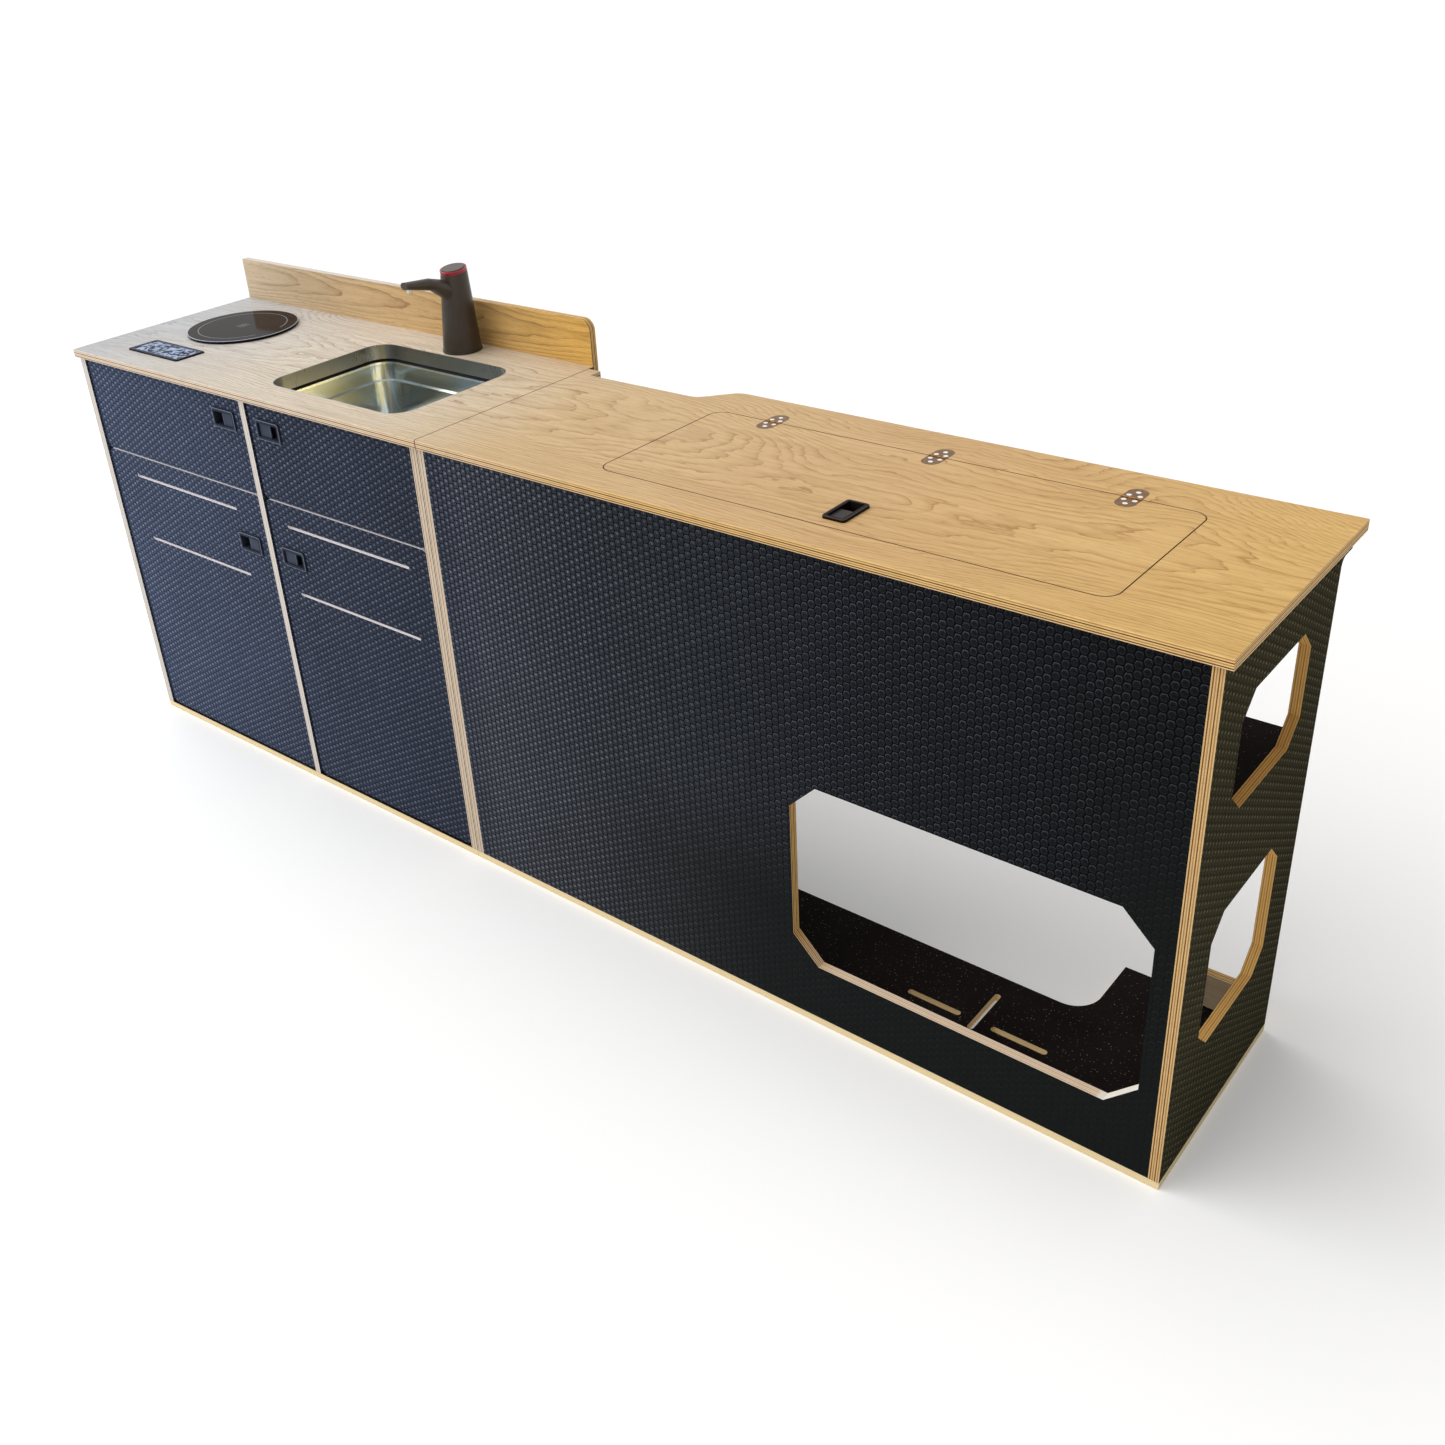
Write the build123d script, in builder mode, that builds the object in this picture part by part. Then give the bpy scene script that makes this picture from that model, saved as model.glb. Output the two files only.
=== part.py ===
from build123d import *
import os
from math import radians, tan

# A van side unit: a kitchen module on the left and a storage module on the right.
# Millimetres. X runs along the unit, the doors face -Y, Z is up, and the origin
# is on the floor under the middle of the unit.

# Size over the worktops
unit_length = 2200.0
unit_depth = 414.0
worktop_height = 774.0
upstand_height = 78.0
upstand_round = 19.5

# Boards
panel_ply = 15.0
door_ply = 15.0
worktop_ply = 15.0
base_ply = 12.0
upstand_ply = 14.0

# Carcass under the worktops, and where the two modules meet
front_overhang = 8.0
left_overhang = 3.0
right_overhang = 10.0
carcass_depth = 357.0
joint_from_left = 947.4
joint_gap = 0.8
worktop_joint_offset = 9.0
worktop_joint_gap = 0.6
worktop_edge_round = 1.5

# Rear tab under the worktop on every upright panel
tab_height = 20.0
tab_reach = 34.0
tab_round = 12.0

# Doors
door_gap = 2.0
door_inset = 3.5
door_corner_round = 12.0
divider_from_left = 496.6
split_height = 582.0
split_gap = 3.0
shelf_setback = 2.5
shelf_under_waste = 12.7
groove_length = 317.0
groove_width = 5.0
groove_depth = 5.0
groove_drop = 42.0
groove_pitch = 130.0

# Concealed door hinges
cup_radius = 17.5
cup_depth = 11.5
cup_fit = 0.15
cup_edge_distance = 22.0
upper_cup_from_door_end = 42.0
lower_cup_from_door_end = 100.0
cup_flange_length = 52.0
cup_flange_width = 24.0
cup_flange_thickness = 1.4
cup_flange_round = 6.0
hinge_arm_gap = 0.3
hinge_arm_width = 16.0
hinge_arm_reach = 34.0
hinge_arm_nose = 10.0
hinge_plate_thickness = 12.0
hinge_plate_length = 62.0

# Slam latches, five alike; their long way runs to the free edge of the door or lid
latch_length = 62.0
latch_width = 35.0
latch_corner = 5.0
latch_proud = 4.0
latch_edge_round = 0.8
latch_body_length = 56.0
latch_body_width = 29.0
latch_body_depth = 28.0
latch_fit = 0.2
door_latch_margin = 22.0
lid_latch_margin = 18.0
upper_latch_drop = 44.5
lower_latch_drop = 102.5
pocket_length = 52.0
pocket_width = 24.0
pocket_depth = 10.0
paddle_length = 28.0
paddle_gap = 0.3
paddle_thickness = 2.4
paddle_sunk = 1.0
barrel_radius = 2.0
trunnion_radius = 1.2
trunnion_length = 2.0
trunnion_fit = 0.05
bolt_width = 14.0
bolt_thickness = 8.0
bolt_length = 28.5
bolt_reach = 44.5
bolt_fit = 0.15
bolt_travel = 8.0
bolt_bevel = 4.0
bolt_clearance = 2.0
keeper_width = 20.0
keeper_thickness = 2.0
keeper_lip = 1.5
keeper_length = 24.0
keeper_clearance = 2.0

# Sink, on the middle line of its cut-out
sink_from_left = 679.0
sink_from_front = 189.0
sink_length = 344.0
sink_width = 263.0
sink_corner = 40.0
collar_height = 26.0
collar_wall = 1.2
collar_fit = 0.2
gasket_height = 5.0
gasket_setback = 3.0
gasket_clearance = 0.3
gasket_spread = 6.0
divider_notch_clearance = 4.0
bowl_rim_thickness = 2.0
bowl_inset = 2.5
bowl_wall = 1.2
bowl_depth = 118.0
bowl_step_depth = 34.0
bowl_step_width = 5.0
bowl_bottom_round = 20.0
waste_radius = 22.0
waste_flange_radius = 29.0
waste_flange_thickness = 1.6
waste_length = 24.0
waste_fit = 0.2
waste_dish_depth = 0.8
waste_hole_radius = 2.0
waste_hole_count = 6

# Hob
hob_from_left = 187.0
hob_from_front = 249.0
hob_radius = 103.5
hob_glass_thickness = 4.0
hob_glass_round = 1.2
hob_flange_setback = 3.0
hob_flange_thickness = 1.8
hob_body_radius = 92.0
hob_body_depth = 56.0
hob_body_round = 4.0
hob_fit = 0.5

# Socket panel
socket_from_left = 180.0
socket_from_front = 83.0
socket_length = 155.0
socket_width = 62.0
socket_corner = 5.0
socket_proud = 2.5
socket_edge_round = 0.8
socket_rim = 6.5
socket_wall = 2.0
socket_depth = 30.0
socket_fit = 0.2
socket_sunk = 1.0
mains_share = 0.66
pin_slot_length = 8.0
pin_slot_width = 3.6
pin_slot_depth = 12.0
pin_slot_spread = 22.0
pin_slot_rise = 11.0
usb_slot_length = 12.5
usb_slot_width = 3.8
usb_slot_depth = 10.0
usb_slot_pitch = 13.0

# Tap, behind the sink
tap_from_front = 360.0
tap_base_radius = 35.0
tap_base_thickness = 3.0
tap_spigot_radius = 18.0
tap_spigot_height = 6.0
tap_running_fit = 0.06
tap_float = 0.2
tap_shank_radius = 11.0
tap_shank_length = 34.0
tap_shank_fit = 0.3
tap_nut_radius = 19.0
tap_nut_thickness = 8.0
tap_body_height = 138.0
tap_top_radius = 23.5
tap_top_tilt = 8.0
tap_lean_share = 0.25
tap_body_taper = 1.0
ring_height = 5.5
ring_wall = 3.0
ring_edge_round = 0.75
button_gap = 0.3
button_travel = 1.2
button_proud = 1.2
button_edge_round = 0.6
button_stem_radius = 4.0
button_stem_length = 12.0
spout_reach = 110.0
spout_root_height = 99.0
spout_tip_height = 138.0
spout_root_width = 34.0
spout_root_depth = 46.0
spout_tip_width = 17.0
spout_tip_depth = 12.5
nozzle_radius = 4.5
nozzle_length = 10.0
nozzle_setback = 9.0
nozzle_fit = 0.1
nozzle_sunk = 4.0
nozzle_bore_radius = 2.5

# Storage module: worktop outline, measured from the unit's left end and front
notch_depth = 362.0
tab_width = 26.0
tab_depth = 387.0
notch_end = 1207.0
step_run = 48.0
step_round = 30.0

# Lid in the storage worktop. Its place shares out the room between its frame and the panels
lid_place_share = 0.7204
lid_from_front = 57.0
lid_length = 768.0
lid_width = 275.0
lid_gap = 1.0
lid_corner = 22.0
frame_ply = 15.0
frame_outer_margin = 20.0
frame_inner_margin = 12.0
keeper_notch_width = 24.0

# Counter-flap hinges across the lid's back edge
flap_hinge_pitch = 280.0
flap_hinge_count = 3
flap_leaf_length = 31.5
flap_leaf_width = 28.0
flap_leaf_thickness = 2.5
flap_leaf_fit = 0.2
knuckle_radius = 1.5
knuckle_gap = 0.3
knuckle_fit = 0.06
hinge_pin_radius = 0.8
screw_radius = 1.7
screw_head_radius = 3.4
screw_length = 10.5
screw_fit = 0.06
screw_row_distance = 8.0
screw_row_spread = 7.4
screw_end_distance = 20.0

# Storage module: panels, shelf and floor
front_cut_from_right = 50.0
front_cut_bottom = 106.0
front_cut_length = 522.0
front_cut_height = 307.0
front_cut_chamfer = 43.0
end_cut_from_front = 82.0
end_cut_width = 213.0
upper_cut_from_top = 91.0
upper_cut_height = 159.0
lower_cut_bottom = 168.0
lower_cut_height = 209.0
end_cut_chamfer = 31.0
storage_shelf_top = 492.0
arch_left_margin = 202.2
arch_right_margin = 209.0
arch_from_front = 239.0
arch_corner = 43.0
slot_length = 88.0
slot_width = 10.0
slot_cross_from_right = 342.0
slot_from_front = 133.0
slot_spread = 69.0
slot_cross_centre = 158.0
strip_length = 74.0
strip_height = 58.0

# Holes in both base boards for bolting the unit to the van floor
floor_hole_radius = 3.25
floor_hole_margin = 62.0
kitchen_hole_end_margin = 117.0
storage_hole_end_margin = 111.1

# How far cuts run past the faces they open
overrun = 5.0

# Faces and lines worked out from the sizes above
left = -unit_length / 2
right = unit_length / 2
front = -unit_depth / 2
back = unit_depth / 2
top = worktop_height
under_top = worktop_height - worktop_ply
carcass_front = front + front_overhang
carcass_back = carcass_front + carcass_depth
kitchen_left = left + left_overhang
kitchen_right = left + joint_from_left - joint_gap / 2
storage_left = left + joint_from_left + joint_gap / 2
storage_right = right - right_overhang
divider_left = left + divider_from_left
divider_right = divider_left + panel_ply
door_face = carcass_front + door_inset
hinge_plate_front = door_face + door_ply + cup_flange_thickness + hinge_arm_gap
shelf_front = hinge_plate_front + hinge_plate_length + shelf_setback
latch_bolt_front = max(door_ply, worktop_ply) + bolt_clearance
paddle_axis_x = pocket_length / 2 - barrel_radius - paddle_gap
sink_x = left + sink_from_left
sink_y = front + sink_from_front
collar_bottom = top - collar_height
gasket_bottom = collar_bottom - gasket_height
bowl_rim_bottom = gasket_bottom - bowl_rim_thickness
bowl_bottom = gasket_bottom - bowl_depth
waste_bottom = bowl_bottom + bowl_wall - waste_length
hob_x = left + hob_from_left
hob_y = front + hob_from_front
socket_x = left + socket_from_left
socket_y = front + socket_from_front
tap_y = front + tap_from_front
bay_left = storage_left + panel_ply
bay_right = storage_right - panel_ply
lid_frame_length = lid_length + 2 * frame_outer_margin
lid_frame_left = bay_left + (bay_right - bay_left - lid_frame_length) * lid_place_share
lid_left = lid_frame_left + frame_outer_margin
lid_right = lid_left + lid_length
lid_front = front + lid_from_front
lid_back = lid_front + lid_width
lid_x = (lid_left + lid_right) / 2
lid_y = (lid_front + lid_back) / 2
lid_axis_y = lid_back - lid_gap / 2
window_length = socket_length - 2 * socket_rim
window_width = socket_width - 2 * socket_rim
flap_hinge_places = [
    lid_x + (place - (flap_hinge_count - 1) / 2) * flap_hinge_pitch
    for place in range(flap_hinge_count)
]

os.makedirs("parts", exist_ok=True)


# Helpers that draw in the part being built
def block(low, high, mode=Mode.ADD):
    """A square-edged block between two opposite corners."""
    size = Vector(*high) - Vector(*low)
    middle = (Vector(*high) + Vector(*low)) / 2
    with Locations(middle):
        Box(size.X, size.Y, size.Z, mode=mode)


def chamfered_window(centre, length, height, corner):
    """A rectangle with cut corners, in the sketch being drawn."""
    with Locations(centre):
        Rectangle(length, height)
    chamfer(vertices(), corner)


def save(builder, name):
    """Names a finished piece and writes its file."""
    builder.part.label = name
    export_step(builder.part, "parts/" + name + ".step")


def floor_bolt_holes(low_x, high_x, end_margin):
    """Four holes through a base board, one near each corner."""
    along = high_x - low_x - 2 * end_margin
    across = carcass_depth - 2 * floor_hole_margin
    with Locations(((low_x + high_x) / 2, (carcass_front + carcass_back) / 2, base_ply)):
        with GridLocations(along, across, 2, 2):
            Hole(floor_hole_radius)


def upright_panel(low_x, front_edge):
    """An upright panel whose left face is at low_x."""
    with BuildPart() as panel:
        with BuildSketch(Plane.YZ.offset(low_x)):
            with BuildLine():
                Polyline(
                    (front_edge, base_ply),
                    (carcass_back, base_ply),
                    (carcass_back, under_top - tab_height),
                    (carcass_back + tab_reach, under_top - tab_height),
                    (carcass_back + tab_reach, under_top),
                    (front_edge, under_top),
                    close=True,
                )
            make_face()
        extrude(amount=panel_ply)
        inner_edges = panel.edges().filter_by(Axis.X).filter_by(
            lambda edge: abs(edge.center().Y - carcass_back) < tab_reach / 4
            and edge.center().Z > base_ply + tab_height
        )
        fillet(inner_edges, tab_round)
    return panel


# Kitchen module: carcass
with BuildPart() as kitchen_base:
    block((kitchen_left, carcass_front, 0), (kitchen_right, carcass_back, base_ply))
    floor_bolt_holes(kitchen_left, kitchen_right, kitchen_hole_end_margin)
save(kitchen_base, "kitchen_base")

save(upright_panel(kitchen_left, carcass_front), "kitchen_left_panel")
with BuildPart() as kitchen_divider:
    add(upright_panel(divider_left, carcass_front).part)
    notch_half = sink_width / 2 + gasket_spread + divider_notch_clearance
    block(
        (divider_left, sink_y - notch_half, bowl_bottom - divider_notch_clearance),
        (divider_right, sink_y + notch_half, under_top),
        mode=Mode.SUBTRACT,
    )
save(kitchen_divider, "kitchen_divider")
save(upright_panel(kitchen_right - panel_ply, carcass_front), "kitchen_right_panel")

left_bay = (kitchen_left + panel_ply, divider_left)
right_bay = (divider_right, kitchen_right - panel_ply)
left_shelf_bottom = split_height - panel_ply / 2
right_shelf_bottom = waste_bottom - shelf_under_waste - panel_ply
kitchen_shelves = (("left", left_bay, left_shelf_bottom), ("right", right_bay, right_shelf_bottom))

for side, bay, low_z in kitchen_shelves:
    with BuildPart() as kitchen_shelf:
        block((bay[0], shelf_front, low_z), (bay[1], carcass_back, low_z + panel_ply))
    save(kitchen_shelf, "kitchen_shelf_" + side)

# Kitchen worktop and upstand
kitchen_worktop_back = back - upstand_ply
kitchen_worktop_right = left + joint_from_left + worktop_joint_offset - worktop_joint_gap / 2
storage_worktop_left = left + joint_from_left + worktop_joint_offset + worktop_joint_gap / 2

with BuildPart() as kitchen_worktop:
    block((left, front, under_top), (kitchen_worktop_right, kitchen_worktop_back, top))
    front_edge = kitchen_worktop.edges().filter_by(Axis.X).group_by(Axis.Y)[0]
    fillet(front_edge, worktop_edge_round)
    with BuildSketch(Plane.XY.offset(top)):
        with Locations((sink_x, sink_y)):
            RectangleRounded(sink_length, sink_width, sink_corner)
        with Locations((hob_x, hob_y)):
            Circle(hob_body_radius + hob_fit)
        with Locations((socket_x, socket_y)):
            Rectangle(
                window_length + 2 * socket_wall + 2 * socket_fit,
                window_width + 2 * socket_wall + 2 * socket_fit,
            )
        with Locations((sink_x, tap_y)):
            Circle(tap_shank_radius + tap_shank_fit)
    extrude(amount=-worktop_ply, mode=Mode.SUBTRACT)
save(kitchen_worktop, "kitchen_worktop")

with BuildPart() as upstand:
    upstand_right = kitchen_worktop_right - left_overhang
    block((left, kitchen_worktop_back, under_top), (upstand_right, back, top + upstand_height))
    top_right = (upstand_right, back, top + upstand_height)
    fillet(upstand.edges().filter_by(Axis.Y).sort_by_distance(top_right)[0], upstand_round)
save(upstand, "upstand")


# Slam latches. On a latch's plane, local x runs to the free edge and local z outwards
def paddle_axis_plane(plane):
    """The plane across the paddle's pivot, at the middle of the pocket's width."""
    pivot = plane.from_local_coords((paddle_axis_x, 0, -paddle_sunk))
    return Plane(pivot, x_dir=plane.x_dir, z_dir=plane.y_dir)


def latch_body(plane):
    """Bezel and housing, with the finger pocket, the bolt channel and the paddle's bearings."""
    channel_end = bolt_reach - bolt_length - bolt_travel - bolt_fit
    with BuildPart() as body:
        with BuildSketch(plane):
            RectangleRounded(latch_length, latch_width, latch_corner)
        extrude(amount=latch_proud)
        fillet(body.faces().sort_by(Axis(plane.origin, plane.z_dir))[-1].edges(), latch_edge_round)
        with BuildSketch(plane):
            Rectangle(latch_body_length, latch_body_width)
        extrude(amount=-latch_body_depth)
        with BuildSketch(plane.offset(latch_proud)):
            Rectangle(pocket_length, pocket_width)
        extrude(amount=-latch_proud - pocket_depth, mode=Mode.SUBTRACT)
        with BuildSketch(plane.offset(bolt_fit - latch_bolt_front)):
            with Locations(((channel_end + latch_body_length / 2 + overrun) / 2, 0)):
                Rectangle(latch_body_length / 2 + overrun - channel_end, bolt_width + 2 * bolt_fit)
        extrude(amount=-bolt_thickness - 2 * bolt_fit, mode=Mode.SUBTRACT)
        with BuildSketch(paddle_axis_plane(plane)):
            Circle(trunnion_radius + trunnion_fit)
        extrude(amount=pocket_width / 2 + trunnion_length + paddle_gap, both=True, mode=Mode.SUBTRACT)
    return body


def latch_paddle(plane):
    """The finger paddle, with its pivot barrel and two trunnions."""
    paddle_half = pocket_width / 2 - paddle_gap
    with BuildPart() as paddle:
        with BuildSketch(plane.offset(paddle_sunk - paddle_thickness)):
            with Locations((paddle_axis_x - paddle_length / 2, 0)):
                Rectangle(paddle_length, 2 * paddle_half)
        extrude(amount=paddle_thickness)
        with BuildSketch(paddle_axis_plane(plane)):
            Circle(barrel_radius)
        extrude(amount=paddle_half, both=True)
        with BuildSketch(paddle_axis_plane(plane)):
            Circle(trunnion_radius)
        extrude(amount=pocket_width / 2 + trunnion_length, both=True)
    return paddle


def latch_bolt(plane):
    """The bolt, bevelled on the side that meets its keeper."""
    with BuildPart() as bolt:
        with BuildSketch(plane.offset(-latch_bolt_front)):
            with Locations((bolt_reach - bolt_length / 2, 0)):
                Rectangle(bolt_length, bolt_width)
        extrude(amount=-bolt_thickness)
        tip = plane.from_local_coords((bolt_reach, 0, -latch_bolt_front - bolt_thickness))
        chamfer(bolt.edges().sort_by_distance(tip)[0], bolt_bevel)
    return bolt


def latch_keeper(plane, seat):
    """An angle on the carcass beside the bolt's tip, seated at local x = seat."""
    lip_top = -latch_bolt_front + keeper_lip
    with BuildPart() as keeper:
        with BuildSketch(plane.offset(lip_top)):
            with Locations((seat - keeper_thickness / 2, 0)):
                Rectangle(keeper_thickness, keeper_width)
        extrude(amount=-keeper_length)
        with BuildSketch(plane.offset(lip_top)):
            with Locations(((bolt_reach + keeper_clearance + seat) / 2, 0)):
                Rectangle(seat - bolt_reach - keeper_clearance, keeper_width)
        extrude(amount=-keeper_lip)
    return keeper


def latch_cut(plane, thickness):
    """The latch's hole through a door or the lid."""
    with BuildSketch(plane) as hole:
        Rectangle(latch_body_length + 2 * latch_fit, latch_body_width + 2 * latch_fit)
    extrude(hole.sketch, amount=-thickness, mode=Mode.SUBTRACT)


def save_latch(plane, name):
    save(latch_body(plane), name + "_body")
    save(latch_paddle(plane), name + "_paddle")
    save(latch_bolt(plane), name + "_bolt")


# Doors, with their hinge cups and latches
door_heights = {
    "upper": (split_height + split_gap / 2, under_top - door_gap),
    "lower": (base_ply + door_gap, split_height - split_gap / 2),
}
latch_drops = {"upper": upper_latch_drop, "lower": lower_latch_drop}
cup_from_door_end = {"upper": upper_cup_from_door_end, "lower": lower_cup_from_door_end}
keepers = []
arms = []


def cup_heights(row):
    """The heights of a door's two hinge cups."""
    low_z, high_z = door_heights[row]
    return (low_z + cup_from_door_end[row], high_z - cup_from_door_end[row])


def door(low_x, high_x, row, hinge_x, inward, latch_plane):
    """One inset door. inward is 1 where it opens from its left edge, -1 from its right."""
    cup_x = hinge_x + inward * cup_edge_distance
    low_z, high_z = door_heights[row]
    with BuildPart() as leaf:
        block((low_x, door_face, low_z), (high_x, door_face + door_ply, high_z))
        fillet(leaf.edges().filter_by(Axis.Y), door_corner_round)
        for cup_z in cup_heights(row):
            with BuildSketch(Plane.XZ.offset(-door_face - door_ply)):
                with Locations((cup_x, cup_z)):
                    Circle(cup_radius + cup_fit)
            extrude(amount=cup_depth + cup_fit, mode=Mode.SUBTRACT)
        latch_cut(latch_plane, door_ply)
        if row == "lower":
            for groove in range(2):
                groove_z = high_z - groove_drop - groove * groove_pitch
                with BuildSketch(Plane.XZ.offset(-door_face)):
                    with Locations(((low_x + high_x) / 2, groove_z)):
                        SlotOverall(groove_length, groove_width)
                extrude(amount=-groove_depth, mode=Mode.SUBTRACT)
    return leaf


def hinge_cups(row, hinge_x, inward):
    """The two cups sunk in a door's back, each with its flange."""
    cup_x = hinge_x + inward * cup_edge_distance
    with BuildPart() as cups:
        for cup_z in cup_heights(row):
            with BuildSketch(Plane.XZ.offset(-door_face - door_ply)):
                with Locations((cup_x, cup_z)):
                    Circle(cup_radius)
            extrude(amount=cup_depth)
            with BuildSketch(Plane.XZ.offset(-door_face - door_ply)):
                with Locations((cup_x, cup_z)):
                    RectangleRounded(cup_flange_width, cup_flange_length, cup_flange_round)
            extrude(amount=-cup_flange_thickness)
    return cups


def hinge_arm(panel_x, inward, centre_z):
    """A mounting plate on the panel, with the arm that reaches to the cup."""
    start = hinge_plate_front
    half = hinge_arm_width / 2
    low_plate, high_plate = sorted((panel_x, panel_x + inward * hinge_plate_thickness))
    low_nose, high_nose = sorted((panel_x, panel_x + inward * hinge_arm_reach))
    block((low_plate, start, centre_z - half), (high_plate, start + hinge_plate_length, centre_z + half))
    block((low_nose, start, centre_z - half / 2), (high_nose, start + hinge_arm_nose, centre_z + half / 2))


for row, (_, high_z) in door_heights.items():
    for side, bay, inward in (("left", left_bay, 1), ("right", right_bay, -1)):
        name = "door_" + row + "_" + side
        low_x = bay[0] + door_gap
        high_x = bay[1] - door_gap
        hinge_x = low_x if inward == 1 else high_x
        free_x = high_x if inward == 1 else low_x
        panel_x = bay[0] if inward == 1 else bay[1]
        latch_x = free_x - inward * (door_latch_margin + latch_length / 2)
        latch_plane = Plane(
            (latch_x, door_face, high_z - latch_drops[row]),
            x_dir=(inward, 0, 0),
            z_dir=(0, -1, 0),
        )
        save(door(low_x, high_x, row, hinge_x, inward, latch_plane), name)
        save(hinge_cups(row, hinge_x, inward), name + "_hinge_cups")
        save_latch(latch_plane, name + "_latch")
        seat = latch_length / 2 + door_latch_margin + door_gap
        keepers.append((latch_plane, seat))
        for cup_z in cup_heights(row):
            arms.append((panel_x, inward, cup_z))

with BuildPart() as door_hinge_arms:
    for panel_x, inward, centre_z in arms:
        hinge_arm(panel_x, inward, centre_z)
save(door_hinge_arms, "door_hinge_arms")

# Sink: collar, gasket, bowl and waste
def sink_outline(growth, mode=Mode.ADD):
    """The cut-out's outline, grown or shrunk all round."""
    with Locations((sink_x, sink_y)):
        RectangleRounded(
            sink_length + 2 * growth,
            sink_width + 2 * growth,
            sink_corner + growth,
            mode=mode,
        )


with BuildPart() as sink_collar:
    with BuildSketch(Plane.XY.offset(collar_bottom)):
        sink_outline(-collar_fit)
    extrude(amount=collar_height)
    with BuildSketch(Plane.XY.offset(collar_bottom)):
        sink_outline(-collar_fit - collar_wall)
    extrude(amount=collar_height, mode=Mode.SUBTRACT)
save(sink_collar, "sink_collar")

with BuildPart() as sink_gasket:
    with BuildSketch(Plane.XY.offset(gasket_bottom)):
        sink_outline(gasket_spread)
    extrude(amount=gasket_height)
    with BuildSketch(Plane.XY.offset(collar_bottom)):
        sink_outline(gasket_setback - collar_fit - collar_wall)
    extrude(amount=-gasket_height, mode=Mode.SUBTRACT)
    # Above the collar's foot the gasket reaches up to the worktop's underside
    with BuildSketch(Plane.XY.offset(collar_bottom)):
        sink_outline(gasket_spread)
        sink_outline(gasket_clearance, mode=Mode.SUBTRACT)
    extrude(amount=under_top - collar_bottom)
save(sink_gasket, "sink_gasket")


def bowl_space(inset, step_z, bottom_z, bottom_round):
    """The bowl's solid form: full size down to the step, then narrower with a rounded bottom."""
    with BuildPart() as space:
        with BuildSketch(Plane.XY.offset(gasket_bottom)):
            sink_outline(-inset)
        extrude(amount=step_z - gasket_bottom)
        with BuildSketch(Plane.XY.offset(step_z)):
            sink_outline(-inset - bowl_step_width)
        extrude(amount=bottom_z - step_z)
        bottom_face = space.faces().sort_by(Axis.Z)[0]
        fillet(bottom_face.edges(), bottom_round)
    return space


inner_inset = collar_fit + collar_wall + bowl_inset
bowl_step_z = gasket_bottom - bowl_step_depth
inner_round = bowl_bottom_round - bowl_wall
outer_form = bowl_space(inner_inset - bowl_wall, bowl_step_z - bowl_wall, bowl_bottom, bowl_bottom_round)
inner_form = bowl_space(inner_inset, bowl_step_z, bowl_bottom + bowl_wall, inner_round)

with BuildPart() as sink_bowl:
    add(outer_form.part)
    with BuildSketch(Plane.XY.offset(bowl_rim_bottom)):
        sink_outline(gasket_spread)
    extrude(amount=bowl_rim_thickness)
    add(inner_form.part, mode=Mode.SUBTRACT)
    with Locations((sink_x, sink_y, bowl_bottom + bowl_wall)):
        Hole(waste_radius + waste_fit, depth=bowl_wall + overrun)
save(sink_bowl, "sink_bowl")

with BuildPart() as sink_waste:
    waste_top = bowl_bottom + bowl_wall + waste_flange_thickness
    with BuildSketch(Plane.XY.offset(waste_top)):
        with Locations((sink_x, sink_y)):
            Circle(waste_flange_radius)
    extrude(amount=-waste_flange_thickness)
    with BuildSketch(Plane.XY.offset(waste_top)):
        with Locations((sink_x, sink_y)):
            Circle(waste_radius)
    extrude(amount=-waste_flange_thickness - waste_length)
    with BuildSketch(Plane.XY.offset(waste_top)):
        with Locations((sink_x, sink_y)):
            Circle(waste_radius - waste_flange_thickness)
    extrude(amount=-waste_dish_depth, mode=Mode.SUBTRACT)
    with BuildSketch(Plane.XY.offset(waste_top)):
        with Locations((sink_x, sink_y)):
            with PolarLocations(waste_radius / 2, waste_hole_count):
                Circle(waste_hole_radius)
            Circle(waste_hole_radius)
    extrude(amount=-waste_length / 2, mode=Mode.SUBTRACT)
save(sink_waste, "sink_waste")

# Hob
with BuildPart() as hob_housing:
    with BuildSketch(Plane.XY.offset(top)):
        with Locations((hob_x, hob_y)):
            Circle(hob_radius - hob_flange_setback)
    extrude(amount=hob_flange_thickness)
    with BuildSketch(Plane.XY.offset(top)):
        with Locations((hob_x, hob_y)):
            Circle(hob_body_radius)
    extrude(amount=-hob_body_depth)
    fillet(hob_housing.faces().sort_by(Axis.Z)[0].edges(), hob_body_round)
save(hob_housing, "hob_housing")

with BuildPart() as hob_glass:
    with BuildSketch(Plane.XY.offset(top + hob_flange_thickness)):
        with Locations((hob_x, hob_y)):
            Circle(hob_radius)
    extrude(amount=hob_glass_thickness)
    fillet(hob_glass.faces().sort_by(Axis.Z)[-1].edges(), hob_glass_round)
save(hob_glass, "hob_glass")

# Socket panel
insert_top = top + socket_proud - socket_sunk

with BuildPart() as socket_frame:
    with BuildSketch(Plane.XY.offset(top)):
        with Locations((socket_x, socket_y)):
            RectangleRounded(socket_length, socket_width, socket_corner)
    extrude(amount=socket_proud)
    fillet(socket_frame.faces().sort_by(Axis.Z)[-1].edges(), socket_edge_round)
    with BuildSketch(Plane.XY.offset(top)):
        with Locations((socket_x, socket_y)):
            Rectangle(window_length + 2 * socket_wall, window_width + 2 * socket_wall)
    extrude(amount=-socket_depth)
    with BuildSketch(Plane.XY.offset(top + socket_proud)):
        with Locations((socket_x, socket_y)):
            Rectangle(window_length, window_width)
    extrude(amount=-socket_proud - socket_depth, mode=Mode.SUBTRACT)
save(socket_frame, "socket_frame")

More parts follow.
